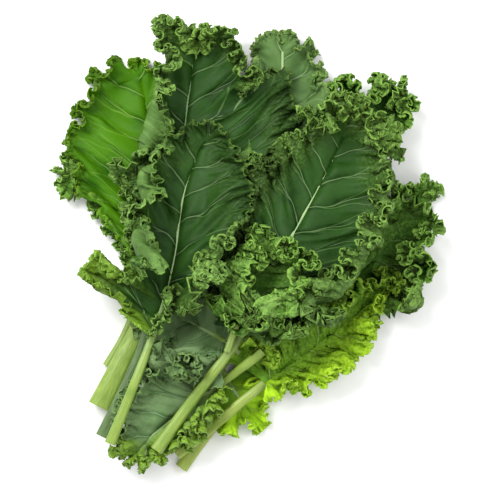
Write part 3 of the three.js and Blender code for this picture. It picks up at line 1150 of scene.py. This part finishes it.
@dataclass
class Stalk:
    """A cut stalk, with the midrib that it runs out into. Millimetres.

    width and height are shares of the solid's radius. ribs run along the stalk, groove is the
    depth of the channel on its upper side, as a share of the radius, and dish how far the cut end
    is hollowed.
    """

    plan: LeafPlan
    solid: Solid
    sides: int = 24
    cuts: int = 59
    width: float = 1.12
    height: float = 0.88
    ribs: int = 7
    rib_height: float = 0.035
    groove: float = 0.2
    dish: float = 0.9

    CUT_END: ClassVar[float] = 0.001

    def axis(self, fraction: Array) -> Array:
        """The heights of the stalk's middle at fractions of its run.

        Args:
            fraction: The fractions.

        Returns:
            One height for each.
        """
        samples = np.linspace(0.004, 0.996, 60)
        spans = np.array([self.solid.span(x, y) for x, y in Route(self.plan.route).at(samples)])
        middles = spans.mean(axis=1)
        known = ~np.isnan(middles)
        return np.interp(fraction, samples[known], middles[known])

    def radius(self, fraction: Array) -> Array:
        """The radii at fractions of the run.

        Args:
            fraction: The fractions.

        Returns:
            One radius for each.
        """
        first, last = self.plan.radii
        plain = first + (last - first) * np.asarray(fraction) ** 0.8
        return plain * (0.94 - 0.4 * np.asarray(fraction) ** 2)

    def outline(self, angle: Array, fraction: Array) -> Array:
        """How far the skin is from the middle, for a radius of 1, at an angle from the top.

        Args:
            angle: The angles, in radians.
            fraction: The fractions of the run.

        Returns:
            One distance for each.
        """
        ribs = self.rib_height * np.cos(self.ribs * angle + 1.3) * (1 - fraction)
        channel = np.exp(-((angle / 0.5) ** 2)) * np.clip(1 - 1.6 * fraction, 0, 1)
        return 1 + ribs - self.groove * channel

    @staticmethod
    def runs_through(edge: bmesh.types.BMEdge) -> bool:
        """Whether an edge runs from one end of the straight unit stalk to the other."""
        return abs(edge.verts[0].co.z - edge.verts[1].co.z) > 0.5

    def build(self) -> bpy.types.Object:
        """Makes the stalk's mesh and dresses it.

        Returns:
            The stalk.
        """
        name = f"{self.plan.name}_stalk"
        bpy.ops.mesh.primitive_cylinder_add(vertices=self.sides, radius=1, depth=1)
        piece = bpy.context.object
        piece.name = f"{name}_skin"
        bpy.ops.object.mode_set(mode="EDIT")
        select(piece.data, Pick.FACE, lambda face: abs(face.normal.z) > 0.5)
        for _ in range(2):
            bpy.ops.mesh.inset(thickness=0.12)
        select(piece.data, Pick.EDGE, self.runs_through)
        bpy.ops.mesh.subdivide(number_cuts=self.cuts)
        bpy.ops.object.mode_set(mode="OBJECT")
        self.lay(piece.data)
        bpy.ops.object.shade_smooth_by_angle(angle=math.radians(50))
        piece.data.materials.append(stalk_material(name, self.plan.stalk))
        adopt(piece, name, self.plan.stalk_slot)
        return piece

    def lay(self, mesh: bpy.types.Mesh) -> None:
        """Bends a straight unit stalk on to its route.

        Args:
            mesh: The unit stalk, which stands on its cut end.
        """
        flat = np.empty(len(mesh.vertices) * 3)
        mesh.vertices.foreach_get("co", flat)
        points = flat.reshape(-1, 3)
        fraction = np.clip(points[:, 2] + 0.5, 0, 1)
        angle = np.arctan2(points[:, 0], points[:, 1])
        depth = np.hypot(points[:, 0], points[:, 1])
        at_cut = fraction < self.CUT_END
        route = Route(self.plan.route)
        ahead = route.ahead(fraction)
        right = np.stack([ahead[:, 1], -ahead[:, 0]], -1)
        radius = self.radius(fraction) * depth * self.outline(angle, fraction)
        across = np.sin(angle) * radius * self.width
        up = np.cos(angle) * radius * self.height
        hollow = np.where(at_cut, (1 - depth) * self.dish, 0.0)
        plan = route.at(fraction) + right * across[:, None] + ahead * hollow[:, None]
        z = np.maximum(self.axis(fraction) + up, 0.05)
        mesh.vertices.foreach_set("co", (np.column_stack([plan, z]) * MM).ravel())
        mesh.update()
        store(mesh, "run", fraction)
        store(mesh, "cut", np.where(at_cut, np.clip((0.97 - depth) * 9, 0, 1), 0.0))
        corners = np.empty(len(mesh.loops), int)
        mesh.loops.foreach_get("vertex_index", corners)
        chart = np.column_stack([np.abs(angle) / math.pi, fraction * route.length / 10])
        mesh.uv_layers.active.data.foreach_set("uv", chart[corners].ravel())


@dataclass(frozen=True)
class Stage:
    """One stage of a blade's growth.

    step is the number of rows that one row stands for, frizz and crisp are the shares of those two
    growths that are reached, periods the lengths of the waves that start it off, in millimetres
    of flat margin, rounds how often the sheet relaxes, stiffness how hard it is to bend along the
    margin, and leash how far, in millimetres, it may stray from the first stage's waves.
    """

    step: int
    frizz: float
    crisp: float
    periods: tuple[float, ...]
    rounds: int
    stiffness: float
    leash: float


STAGES = (
    Stage(8, 0.0, 0.0, (34, 16, 9), 200, 0.14, 14.0),
    Stage(4, 0.5, 0.0, (7, 4), 120, 0.05, 4.8),
    Stage(2, 1.0, 0.0, (4, 2.2), 90, 0.03, 3.4),
    Stage(1, 1.0, 1.0, (1.8, 1), 70, 0.02, 3.0),
)


@dataclass
class Blade:
    """A ruffled blade, grown on the surface of its solid. Millimetres.

    Its points are a grid. A row runs from the midrib to the margin, and the rows follow one another
    round the blade, from the right of its base over the tip to the left. columns are the distances
    of a row's points from the margin, turns the share that each row has of each curl and the
    angle that the curl gives it, easing how much of the curls is left round the tip, and frizz
    how crimped each point is.

    The constants: the curls' angles change every LEAN_PERIOD, and TIP_EASE of the curls is lost
    at the tip, and less the farther from it, over TIP_REACH. SWELLINGS waves as long as
    SWELLING_LENGTHS cross the blade, SWELLING_SHARE of their length high. The midrib stands out
    by MIDRIB_FALL less at the tip, and draws the blade to itself as far as HOLD away. The ruffled
    zones widen and narrow by ZONE_SWING every ZONE_PERIOD, and the young colour and the painted shade
    of the darkened stretches reach in by TENDER_REACH. The growing blade may SINK and RISE so far
    from its curled shape, stays under
    TOP and above LOWEST, and keeps GAP_BELOW and GAP_ABOVE from the leaves below and above it.
    """

    plan: LeafPlan
    solid: Solid
    stalk: Stalk
    floor: HeightMap
    ceiling: HeightMap
    thickness: float = 0.5
    rng: np.random.Generator = field(init=False)
    route: Route = field(init=False)
    row_gap: float = field(init=False)
    columns: tuple[float, ...] = field(init=False)
    turns: list[tuple[Array, Array]] = field(init=False)
    easing: Array = field(init=False)
    frizz: Array = field(init=False)
    grown: Array = field(init=False)

    INSETS: ClassVar[tuple[float, ...]] = (
        0, 0.8, 1.7, 2.7, 3.8, 5.0, 6.4, 8.0, 9.8, 11.8, 14, 16.4, 19, 22, 25.5, 29.5, 34, 39,
    )
    WIDE_INSET: ClassVar[float] = 5.0
    LEAN_PERIOD: ClassVar[float] = 34.0
    TIP_EASE: ClassVar[float] = 0.6
    TIP_REACH: ClassVar[float] = 26.0
    PROBED_ROWS: ClassVar[int] = 97
    SWELLINGS: ClassVar[int] = 14
    SWELLING_LENGTHS: ClassVar[tuple[float, float]] = (16.0, 46.0)
    SWELLING_SHARE: ClassVar[float] = 0.024
    MIDRIB_FALL: ClassVar[float] = 1.35
    HOLD: ClassVar[float] = 14.0
    ZONE_PERIOD: ClassVar[float] = 45.0
    ZONE_SWING: ClassVar[float] = 0.35
    TENDER_REACH: ClassVar[float] = 22.0
    SINK: ClassVar[float] = 8.0
    RISE: ClassVar[float] = 10.0
    TOP: ClassVar[float] = CAD_BOX[1][2] / MM + 8.0
    GAP_BELOW: ClassVar[float] = 0.6
    GAP_ABOVE: ClassVar[float] = 0.5
    LOWEST: ClassVar[float] = 0.4

    def __post_init__(self) -> None:
        """Prepares the randomness, the route and the columns."""
        self.rng = np.random.default_rng(self.plan.seed)
        self.route = Route(self.plan.route)
        self.row_gap = self.plan.ruffles.row_gap
        widest = max(curl.width for curl in self.plan.curls) * 1.2
        first = self.INSETS[-1] + self.WIDE_INSET
        self.columns = (*self.INSETS, *np.arange(first, widest + 5, self.WIDE_INSET))

    # The flat blade

    def edge(self, side: int, row: Array) -> Array:
        """Where the margin is, from the base to the tip, on the left (-1) or the right (1).

        Args:
            side: -1 or 1.
            row: Fractions of the way from the base to the tip.

        Returns:
            One place for each.
        """
        plan = self.plan
        reaches = np.array(plan.left if side < 0 else plan.right, float)[:, None]
        reach = catmull(reaches, row)
        spread = plan.spread[0 if side < 0 else 1]
        angle = np.radians(spread + (TIP_SPREAD - spread) * row)[:, None]
        fraction = plan.blade_from + (1 - plan.blade_from) * row
        ahead = self.route.ahead(fraction)
        right = np.stack([ahead[:, 1], -ahead[:, 0]], -1)
        forward = ahead * reach * np.cos(angle)
        return self.route.at(fraction) + forward + side * right * reach * np.sin(angle)

    def rows(self) -> tuple[Array, Array]:
        """Spaces the rows evenly round the margin.

        Returns:
            The rows' ends on the margin, and their roots as fractions of the midrib's run.
        """
        row = np.linspace(0, 1, 41)
        right, left = self.edge(1, row), self.edge(-1, row)[::-1]
        tip = self.route.at(np.array([1.0]))
        reach = self.plan.tip * 0.5 * (self.plan.left[-1] + self.plan.right[-1])
        tip = tip + self.route.ahead(np.array([1.0])) * reach
        corner = np.concatenate([right[-1:], tip, left[:1]])
        cap = catmull(corner, np.linspace(0, 1, 15))[1:-1]
        margin = np.concatenate([right, cap, left])
        roots = np.concatenate([row, np.ones(len(cap)), row[::-1]])
        steps = np.linalg.norm(np.diff(margin, axis=0), axis=1)
        walked = np.concatenate([[0], np.cumsum(steps)])
        coarsest = STAGES[0].step
        count = int(walked[-1] / self.row_gap / coarsest) * coarsest + 1
        at = np.linspace(0, walked[-1], count)
        margin = np.stack([np.interp(at, walked, margin[:, i]) for i in (0, 1)], -1)
        roots = np.interp(at, walked, roots)
        roots = roots - 0.2 * np.sin(np.pi * roots)
        return margin, self.plan.blade_from + (1 - self.plan.blade_from) * roots

    @staticmethod
    def extent(curl: Curl, count: int) -> Array:
        """How much of a curl each row has.

        Args:
            curl: The curl.
            count: How many rows there are.

        Returns:
            The rows' shares, from 0 to 1.
        """
        at = np.linspace(0, 1, count)
        fade = min(0.04, (curl.end - curl.start) / 4)
        share = np.clip(np.minimum(at - curl.start, curl.end - at) / fade, 0, 1)
        return share * share * (3 - 2 * share)

    def share_out(self, count: int) -> None:
        """Settles how much of each curl every row has and how far it turns.

        Args:
            count: How many rows there are.
        """
        lean = wander(self.rng, count, self.LEAN_PERIOD / self.row_gap)
        shares = np.stack([self.extent(curl, count) for curl in self.plan.curls])
        shares /= np.maximum(shares.sum(axis=0), 0.3)
        self.turns = [
            (share, np.radians(curl.turn + curl.sway * lean) * share)
            for curl, share in zip(self.plan.curls, shares)
        ]
        past_tip = (np.linspace(0, 1, count) - 0.5) * count * self.row_gap
        self.easing = 1 - self.TIP_EASE * np.exp(-((past_tip / self.TIP_REACH) ** 2))

    def lengthened(self, plain: Array) -> Array:
        """The lengths of the rows, with what each curl adds beyond the solid's outline.

        Args:
            plain: The rows' lengths as far as that outline.

        Returns:
            Their lengths with it.
        """
        length = plain.copy()
        at = np.linspace(0, 1, len(plain))
        for curl, (share, _) in zip(self.plan.curls, self.turns):
            through = (at - curl.start) / (curl.end - curl.start) - 0.5
            length += (curl.beyond + curl.drift * through) * share * self.easing
        return np.maximum(length, 0.5 * plain)

    def insets(self, length: Array) -> Array:
        """The distances of every row's points from the margin, from the midrib outwards.

        Args:
            length: The rows' lengths.

        Returns:
            One row of distances for each.
        """
        columns = np.array(self.columns)
        widest = columns[-1]
        room = np.maximum(length - widest - 6, 0)[:, None]
        inset = columns * np.minimum(1, length / (widest + 6))[:, None]
        inset = inset + room * (columns / widest) ** 3
        return np.concatenate([inset, length[:, None]], 1)[:, ::-1]

    def flat_grid(self) -> tuple[Array, Array, Array]:
        """The blade spread out flat.

        Returns:
            The places of its points, their distances from the margin and the rows' roots.
        """
        margin, fraction = self.rows()
        root = self.route.at(fraction)
        row = margin - root
        plain = np.linalg.norm(row, axis=1)
        self.share_out(len(row))
        length = self.lengthened(plain)
        inset = self.insets(length)
        unit = row / plain[:, None]
        out = (length[:, None] - inset)[..., None]
        return root[:, None] + unit[:, None] * out, inset, fraction

    # Its heights

    def base_heights(self, places: Array, fraction: Array) -> Array:
        """The heights of the blade's middle surface, read from its solid.

        Args:
            places: The points' places.
            fraction: The rows' roots.

        Returns:
            The points' heights.
        """
        coarse = np.unique(np.linspace(0, len(places) - 1, self.PROBED_ROWS).astype(int))
        spans = np.array([[self.solid.span(*place) for place in places[row]] for row in coarse])
        low, high = spans[..., 0], spans[..., 1]
        underside = self.spread_out(low, coarse, len(places))
        middle = 0.5 * (underside + self.spread_out(high, coarse, len(places)))
        heights = np.maximum(middle + self.bulges(places), underside + 0.4)
        return self.seated(heights, places, fraction)

    @staticmethod
    def spread_out(heights: Array, coarse: Array, count: int) -> Array:
        """Fills the gaps in a coarse grid of heights, smooths it and reads it at every row.

        Args:
            heights: One row of heights for each coarse row, with NaNs where nothing was hit.
            coarse: The numbers of the coarse rows.
            count: How many rows there are in all.

        Returns:
            The heights of all the rows.
        """
        heights = heights.copy()
        columns = heights.shape[1]
        for column in range(1, columns):
            lost = np.isnan(heights[:, column])
            heights[lost, column] = heights[lost, column - 1]
        for column in range(columns - 2, -1, -1):
            lost = np.isnan(heights[:, column])
            heights[lost, column] = heights[lost, column + 1]
        known = ~np.isnan(heights[:, 0])
        for column in range(columns):
            heights[:, column] = np.interp(coarse, coarse[known], heights[known, column])
        kernel = np.array([1, 2, 3, 2, 1]) / 9
        padded = np.pad(heights, ((2, 2), (0, 0)), mode="edge")
        heights = sum(w * padded[i:i + len(heights)] for i, w in enumerate(kernel))
        every = np.arange(count)
        return np.stack([np.interp(every, coarse, heights[:, j]) for j in range(columns)], 1)

    def bulges(self, places: Array) -> Array:
        """Low swellings all over the blade, between its larger veins.

        Args:
            places: The points' places.

        Returns:
            How far each point is lifted.
        """
        lift = np.zeros(places.shape[:2])
        for _ in range(self.SWELLINGS):
            length = self.rng.uniform(*self.SWELLING_LENGTHS)
            angle, phase = self.rng.uniform(0, 2 * math.pi, 2)
            way = np.array([math.cos(angle), math.sin(angle)])
            wave = np.sin(places @ way * (2 * math.pi / length) + phase)
            lift += wave * length * self.SWELLING_SHARE
        return lift * self.plan.crumple

    def seated(self, heights: Array, places: Array, fraction: Array) -> Array:
        """Draws the blade down (or up) to its midrib, which stands out less towards the tip.

        Args:
            heights: The points' heights.
            places: Their places.
            fraction: The rows' roots.

        Returns:
            The new heights.
        """
        stalk = self.stalk
        reach = stalk.radius(fraction) * stalk.height
        proud = self.plan.proud - self.MIDRIB_FALL * fraction
        if self.plan.face_down:
            seat = stalk.axis(fraction) - reach * 0.3
        else:
            seat = stalk.axis(fraction) + reach - proud
        away = np.linalg.norm(places - places[:, :1], axis=-1)
        hold = np.clip(1 - away / self.HOLD, 0, 1) ** 1.5
        return heights + (seat - heights[:, 0])[:, None] * hold

    # Its growth

    def curled(self, points: Array, inset: Array) -> Array:
        """Turns the margin up and over, or a little down.

        Args:
            points: The points, moved in place.
            inset: Their distances from the margin.

        Returns:
            The same points.
        """
        uneven = self.easing * (1 + 0.2 * wander(self.rng, len(points), 200))
        for curl, (_, turn) in zip(self.plan.curls, self.turns):
            width = curl.width * uneven
            past = np.maximum(width[:, None] - inset, 0)
            arc = np.minimum(past, np.abs(turn)[:, None] * curl.radius)
            angle = arc / curl.radius
            rest = past - arc
            outward = points[:, -1] - points[:, 0]
            outward[:, 2] = 0
            outward /= np.linalg.norm(outward, axis=1, keepdims=True)
            forward = curl.radius * np.sin(angle) + rest * np.cos(angle)
            rise = curl.radius * (1 - np.cos(angle)) + rest * np.sin(angle)
            points += outward[:, None] * (forward - past)[..., None]
            points[..., 2] += rise * np.sign(turn)[:, None]
        return points

    def liveliness(self, count: int) -> Array:
        """The share of the ruffles that each row has, which fades at the blade's base.

        Args:
            count: How many rows there are.

        Returns:
            One share for each.
        """
        at = np.linspace(0, 1, count)
        share = np.clip(np.minimum(at, 1 - at) / 0.05, 0.15, 1)
        for curl, (extent, _) in zip(self.plan.curls, self.turns):
            share = share * (1 - curl.calm * extent)
        return share[:, None]

    def growths(self, inset: Array) -> tuple[Array, Array, Array]:
        """How much each point grows along the margin.

        Args:
            inset: The points' distances from the margin.

        Returns:
            The growth factor of the broad waves, and what frizz and crimps add to it.
        """
        ruffles = self.plan.ruffles
        room = ruffles.depth * inset[:, :1]
        uneven = wander(self.rng, len(inset), self.ZONE_PERIOD / self.row_gap)[:, None]
        reach = 1 + self.ZONE_SWING * uneven
        wide_zone = np.minimum(ruffles.wide_zone * reach, room)
        fine_zone = np.minimum(ruffles.fine_zone * reach, room)
        wide = 1 + ruffles.wide * np.clip(1 - inset / wide_zone, 0, 1) ** 1.7
        frizz = ruffles.fine * np.clip(1 - inset / fine_zone, 0, 1) ** 1.1
        crisp = ruffles.crisp * np.clip(1 - inset / ruffles.crisp_zone, 0, 1)
        lively = self.liveliness(len(inset))
        self.frizz = np.clip(1.4 - inset / fine_zone, 0, 1) * lively
        return 1 + (wide - 1) * lively, frizz * lively, crisp * lively

    def grow(self) -> tuple[Array, Array, Array, Array]:
        """Grows the blade in stages, from broad waves to frizz.

        Returns:
            The grown points, the flat ones, their distances from the margin and the rows' roots.
        """
        flat, inset, fraction = self.flat_grid()
        heights = self.base_heights(flat, fraction)
        base = np.concatenate([flat, heights[..., None]], -1)
        shaped = self.curled(base.copy(), inset)
        wide, frizz, crisp = self.growths(inset)
        points, home, before = shaped, shaped, np.ones_like(inset)
        for stage in STAGES:
            growth = wide + stage.frizz * frizz + stage.crisp * crisp
            picked = np.arange(0, len(base), stage.step)
            at = picked / picked[-1]
            place = self.shaken(self.refined(points, at), growth[picked], stage)
            sheet = self.sheet(place, base[picked], stage)
            low = shaped[picked][..., 2] - self.SINK
            high = np.minimum(shaped[picked][..., 2] + self.RISE, self.TOP)
            middle = self.refined(home, at)

            def settle(now: Array) -> None:
                """Keeps the points near the broad waves and off the other leaves."""
                self.tie(now, middle, stage.leash)
                self.clear(now, low, high)

            old = 0.5 * (before[picked][1:] + before[picked][:-1])
            new = 0.5 * (growth[picked][1:] + growth[picked][:-1])
            sheet.relax(old, new, stage.rounds, settle)
            if home is shaped:
                home = sheet.points
            points, before = sheet.points, growth
        self.pucker(points)
        self.cut_teeth(points, inset)
        self.clear(points, low, high, 1.0)
        return points, flat, inset, fraction

    @staticmethod
    def sheet(place: Array, spread: Array, stage: Stage) -> GrowingSheet:
        """Makes the sheet that grows in a stage.

        Args:
            place: Where its points are.
            spread: Where they were before the margin was turned, which gives the flat distances.
            stage: The stage.

        Returns:
            The sheet.
        """
        along = np.linalg.norm(np.diff(spread, axis=0), axis=-1)
        outward = np.linalg.norm(np.diff(spread, axis=1), axis=-1)
        grids = (grid.astype(np.float32) for grid in (place, along, outward))
        return GrowingSheet(*grids, stage.stiffness)

    @staticmethod
    def refined(points: Array, at: Array) -> Array:
        """Reads a grid smoothly at fractions of the way along its rows."""
        return catmull(points.reshape(len(points), -1), at).reshape(len(at), *points.shape[1:])

    def shaken(self, points: Array, growth: Array, stage: Stage) -> Array:
        """Sets off the waves that the growth will swell.

        Args:
            points: The grid.
            growth: The growth at each of its points.
            stage: The stage that begins.

        Returns:
            The moved grid.
        """
        share = np.clip((growth - 1) / 1.5, 0, 1)
        gap = self.row_gap * stage.step
        lift = np.zeros(points.shape[:2])
        for period in stage.periods:
            lift += share * wander(self.rng, len(points), period / gap)[:, None] * period / 14
        return points + self.normals(points) * lift[..., None]

    @staticmethod
    def normals(points: Array) -> Array:
        """The unit normals of a grid."""
        normal = np.cross(np.gradient(points, axis=1), np.gradient(points, axis=0))
        return normal / (np.linalg.norm(normal, axis=-1, keepdims=True) + 1e-9)

    @staticmethod
    def tie(points: Array, middle: Array, leash: float) -> None:
        """Draws points in place halfway back to within a leash's length of their middles.

        Args:
            points: The points.
            middle: Their middles.
            leash: The length.
        """
        step = points - middle
        far = np.sqrt(np.einsum("...i,...i->...", step, step)) + 1e-9
        points -= step * (0.5 * np.maximum(1 - leash / far, 0))[..., None]

    def clear(self, points: Array, low: Array, high: Array, share: float = 0.3) -> None:
        """Eases points off the leaves below and from under those above.

        Args:
            points: The points, moved in place.
            low: The lowest height that each may take.
            high: The highest.
            share: The part of the way that they are moved.
        """
        floor = np.maximum(self.floor.at(points) + self.GAP_BELOW, self.GAP_BELOW)
        bottom = np.maximum(low, floor)
        top = np.minimum(high, self.ceiling.at(points) - self.GAP_ABOVE)
        z = points[..., 2]
        z += share * (np.minimum(np.maximum(z, bottom), top) - z)
        np.maximum(z, self.LOWEST, out=z)

    def pucker(self, points: Array) -> None:
        """Covers the frizz in small pits, moving the points in place.

        Args:
            points: The points.
        """
        lines = [wander(self.rng, len(points), 2.6) for _ in range(points.shape[1])]
        lift = np.stack(lines, 1) * self.frizz * self.plan.ruffles.pucker
        points += self.normals(points) * lift[..., None]

    def cut_teeth(self, points: Array, inset: Array) -> None:
        """Makes the margin jagged, moving the points in place.

        Args:
            points: The points.
            inset: Their distances from the margin.
        """
        teeth = wander(self.rng, len(points), 3.0) + 0.6 * wander(self.rng, len(points), 9)
        outward = points[:, -1] - points[:, -3]
        outward /= np.linalg.norm(outward, axis=-1, keepdims=True) + 1e-9
        depth = self.plan.ruffles.teeth * np.exp(-inset / 1.6)
        points += outward[:, None] * (teeth[:, None] * depth)[..., None]

    # Its mesh

    def tender_and_shade_share(self, inset: Array) -> Array:
        """How much of the young colour each point has, and below zero how much painted shade, a
        darker colour.
        """
        share = sum(curl.young * extent for curl, (extent, _) in zip(self.plan.curls, self.turns))
        return np.clip(share, -1, 1)[:, None] * np.exp(-((inset / self.TENDER_REACH) ** 2))

    def chart(self, flat: Array, fraction: Array) -> tuple[Array, Array]:
        """Where each point lies, measured along the midrib and away from it.

        Args:
            flat: The places of the points on the flat blade.
            fraction: The rows' roots.

        Returns:
            The distances along the midrib, and across it, positive on the right.
        """
        ahead = self.route.ahead(fraction)
        step = flat - flat[:, :1]
        along = fraction[:, None] * self.route.length + np.einsum("kmi,ki->km", step, ahead)
        across = step[..., 0] * ahead[:, None, 1] - step[..., 1] * ahead[:, None, 0]
        return along, across

    def thin_out(self, values: Array) -> None:
        """Gives rows shared points where the blade is smooth, in fours and in pairs.

        Args:
            values: The numbers of each point, changed in place.
        """
        away = np.array([*self.columns, 99])[::-1]
        for column, gap in enumerate(away):
            share = 4 if gap > 19 else 2 if gap > 9 else 1
            if share > 1:
                owners = (np.arange(len(values)) // share) * share
                values[:, column] = values[owners, column]

    def build(self) -> bpy.types.Object:
        """Grows the blade, makes its mesh, gives it thickness and dresses it.

        Returns:
            The blade.
        """
        self.grown, flat, inset, fraction = self.grow()
        along, across = self.chart(flat, fraction)
        layers = {
            "along": along, "across": across, "rim": inset, "tender": self.tender_and_shade_share(inset),
            "frizz": self.frizz,
        }
        values = np.stack([*layers.values(), *np.moveaxis(self.grown, -1, 0)], -1)
        values = values.astype(np.float64)
        self.thin_out(values)
        rows, columns = inset.shape
        bpy.ops.mesh.primitive_grid_add(x_subdivisions=columns - 1, y_subdivisions=rows - 1, size=2)
        piece = bpy.context.object
        piece.name = f"{self.plan.name}_blade_leaf"
        mesh = piece.data
        mesh.vertices.foreach_set("co", np.ascontiguousarray(values[..., -3:] * MM).ravel())
        for i, layer in enumerate(layers):
            store(mesh, layer, values[..., i])
        mesh.update()
        bpy.ops.object.mode_set(mode="EDIT")
        bpy.ops.mesh.select_all(action="SELECT")
        bpy.ops.mesh.remove_doubles(threshold=1e-7)
        bpy.ops.object.mode_set(mode="OBJECT")
        self.dress(piece)
        return piece

    def dress(self, piece: bpy.types.Object) -> None:
        """Gives the blade its two sides' materials, its thickness and its place in the model.

        Args:
            piece: The blade.
        """
        finish = BLADE_FINISHES[self.plan.tone]
        for side in ("upper", "under"):
            name = f"{self.plan.name}_{side}"
            piece.data.materials.append(blade_material(name, finish, side == "upper"))
        wall = piece.modifiers.new("wall", "SOLIDIFY")
        wall.thickness = self.thickness * MM
        wall.offset = 0
        wall.material_offset = 1
        bpy.ops.object.modifier_apply(modifier="wall")
        bpy.ops.object.shade_smooth()
        adopt(piece, f"{self.plan.name}_blade", self.plan.blade_slot)


@dataclass
class Bunch:
    """All the leaves, lowest first."""

    plans: tuple[LeafPlan, ...]

    SKY: ClassVar[float] = 400.0

    def build(self) -> None:
        """Builds each leaf between the solids below and above it."""
        solids = [
            (Solid(f"{plan.name}_stalk"), Solid(f"{plan.name}_blade")) for plan in self.plans
        ]
        heap = HeightMap(0.0)
        for i, plan in enumerate(self.plans):
            ceiling = HeightMap(self.SKY)
            for pair in solids[i + 1:]:
                for solid in pair:
                    ceiling.take(solid, np.minimum)
            stalk = Stalk(plan, solids[i][0])
            stem = stalk.build()
            blade = Blade(plan, solids[i][1], stalk, heap.swollen(1), ceiling)
            leaf = blade.build()
            heap.rise(blade.grown)
            heap.take(stalk.solid, np.maximum)
            for piece in (stem, leaf):
                count = sum(len(face.vertices) - 2 for face in piece.data.polygons)
                log.info("%s: %d triangles", piece.name, count)


# --------------------------------------------------------------------------------------
# Studio
# --------------------------------------------------------------------------------------


@dataclass(frozen=True)
class Lamp:
    """A soft square lamp that faces the bunch. Metres and watts."""

    place: tuple[float, float, float]
    size: float
    power: float


@dataclass(frozen=True)
class Studio:
    """A pale table, soft light and a camera that looks straight down. Metres."""

    camera_height: float = 2.4
    view_width: float = 0.4
    sensor_width: float = 36.0
    aim: tuple[float, float] = (0.0, -0.001)
    table_size: float = 6.0
    table_colour: Colour = (0.92, 0.92, 0.92)
    room_light: float = 0.86
    lamps: tuple[Lamp, ...] = (
        Lamp(place=(-0.7, 0.8, 1.3), size=0.9, power=32),
        Lamp(place=(0.9, 0.2, 1.4), size=1.2, power=10),
    )

    def build(self) -> None:
        """Puts everything in place."""
        self.floor()
        self.lights()
        self.camera()

    def floor(self) -> None:
        """A matt, nearly white table."""
        bpy.ops.mesh.primitive_plane_add(size=self.table_size, location=(0, 0, 0))
        table = bpy.context.object
        table.name = "table"
        shader = Shader("table")
        body = shader.node("ShaderNodeBsdfPrincipled", {
            "Base Color": (*self.table_colour, 1), "Roughness": 0.9, "Specular IOR Level": 0.1,
        })
        table.data.materials.append(shader.finish(body))

    def lights(self) -> None:
        """A broad soft light from the upper left, a weaker one, and the room's even light."""
        world = bpy.data.worlds.new("room")
        bpy.context.scene.world = world
        world.use_nodes = True
        background = world.node_tree.nodes["Background"]
        background.inputs["Color"].default_value = (1, 1, 1, 1)
        background.inputs["Strength"].default_value = self.room_light
        for lamp in self.lamps:
            bpy.ops.object.light_add(type="AREA", location=lamp.place)
            light = bpy.context.object
            light.data.size = lamp.size
            light.data.energy = lamp.power
            light.rotation_euler = (-Vector(lamp.place)).to_track_quat("-Z", "Y").to_euler()

    def camera(self) -> None:
        """A long lens straight above the bunch."""
        bpy.ops.object.camera_add(location=(*self.aim, self.camera_height), rotation=(0, 0, 0))
        eye = bpy.context.object
        eye.data.sensor_width = self.sensor_width
        eye.data.lens = self.sensor_width * self.camera_height / self.view_width
        bpy.context.scene.camera = eye
        bpy.context.scene.view_settings.view_transform = "Standard"


def main() -> None:
    """Builds the bunch in its studio."""
    logging.basicConfig(level=logging.INFO, format="%(message)s")
    bpy.ops.object.select_all(action="DESELECT")
    Bunch(LEAVES).build()
    Studio().build()
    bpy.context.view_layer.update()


if __name__ == "__main__":
    main()
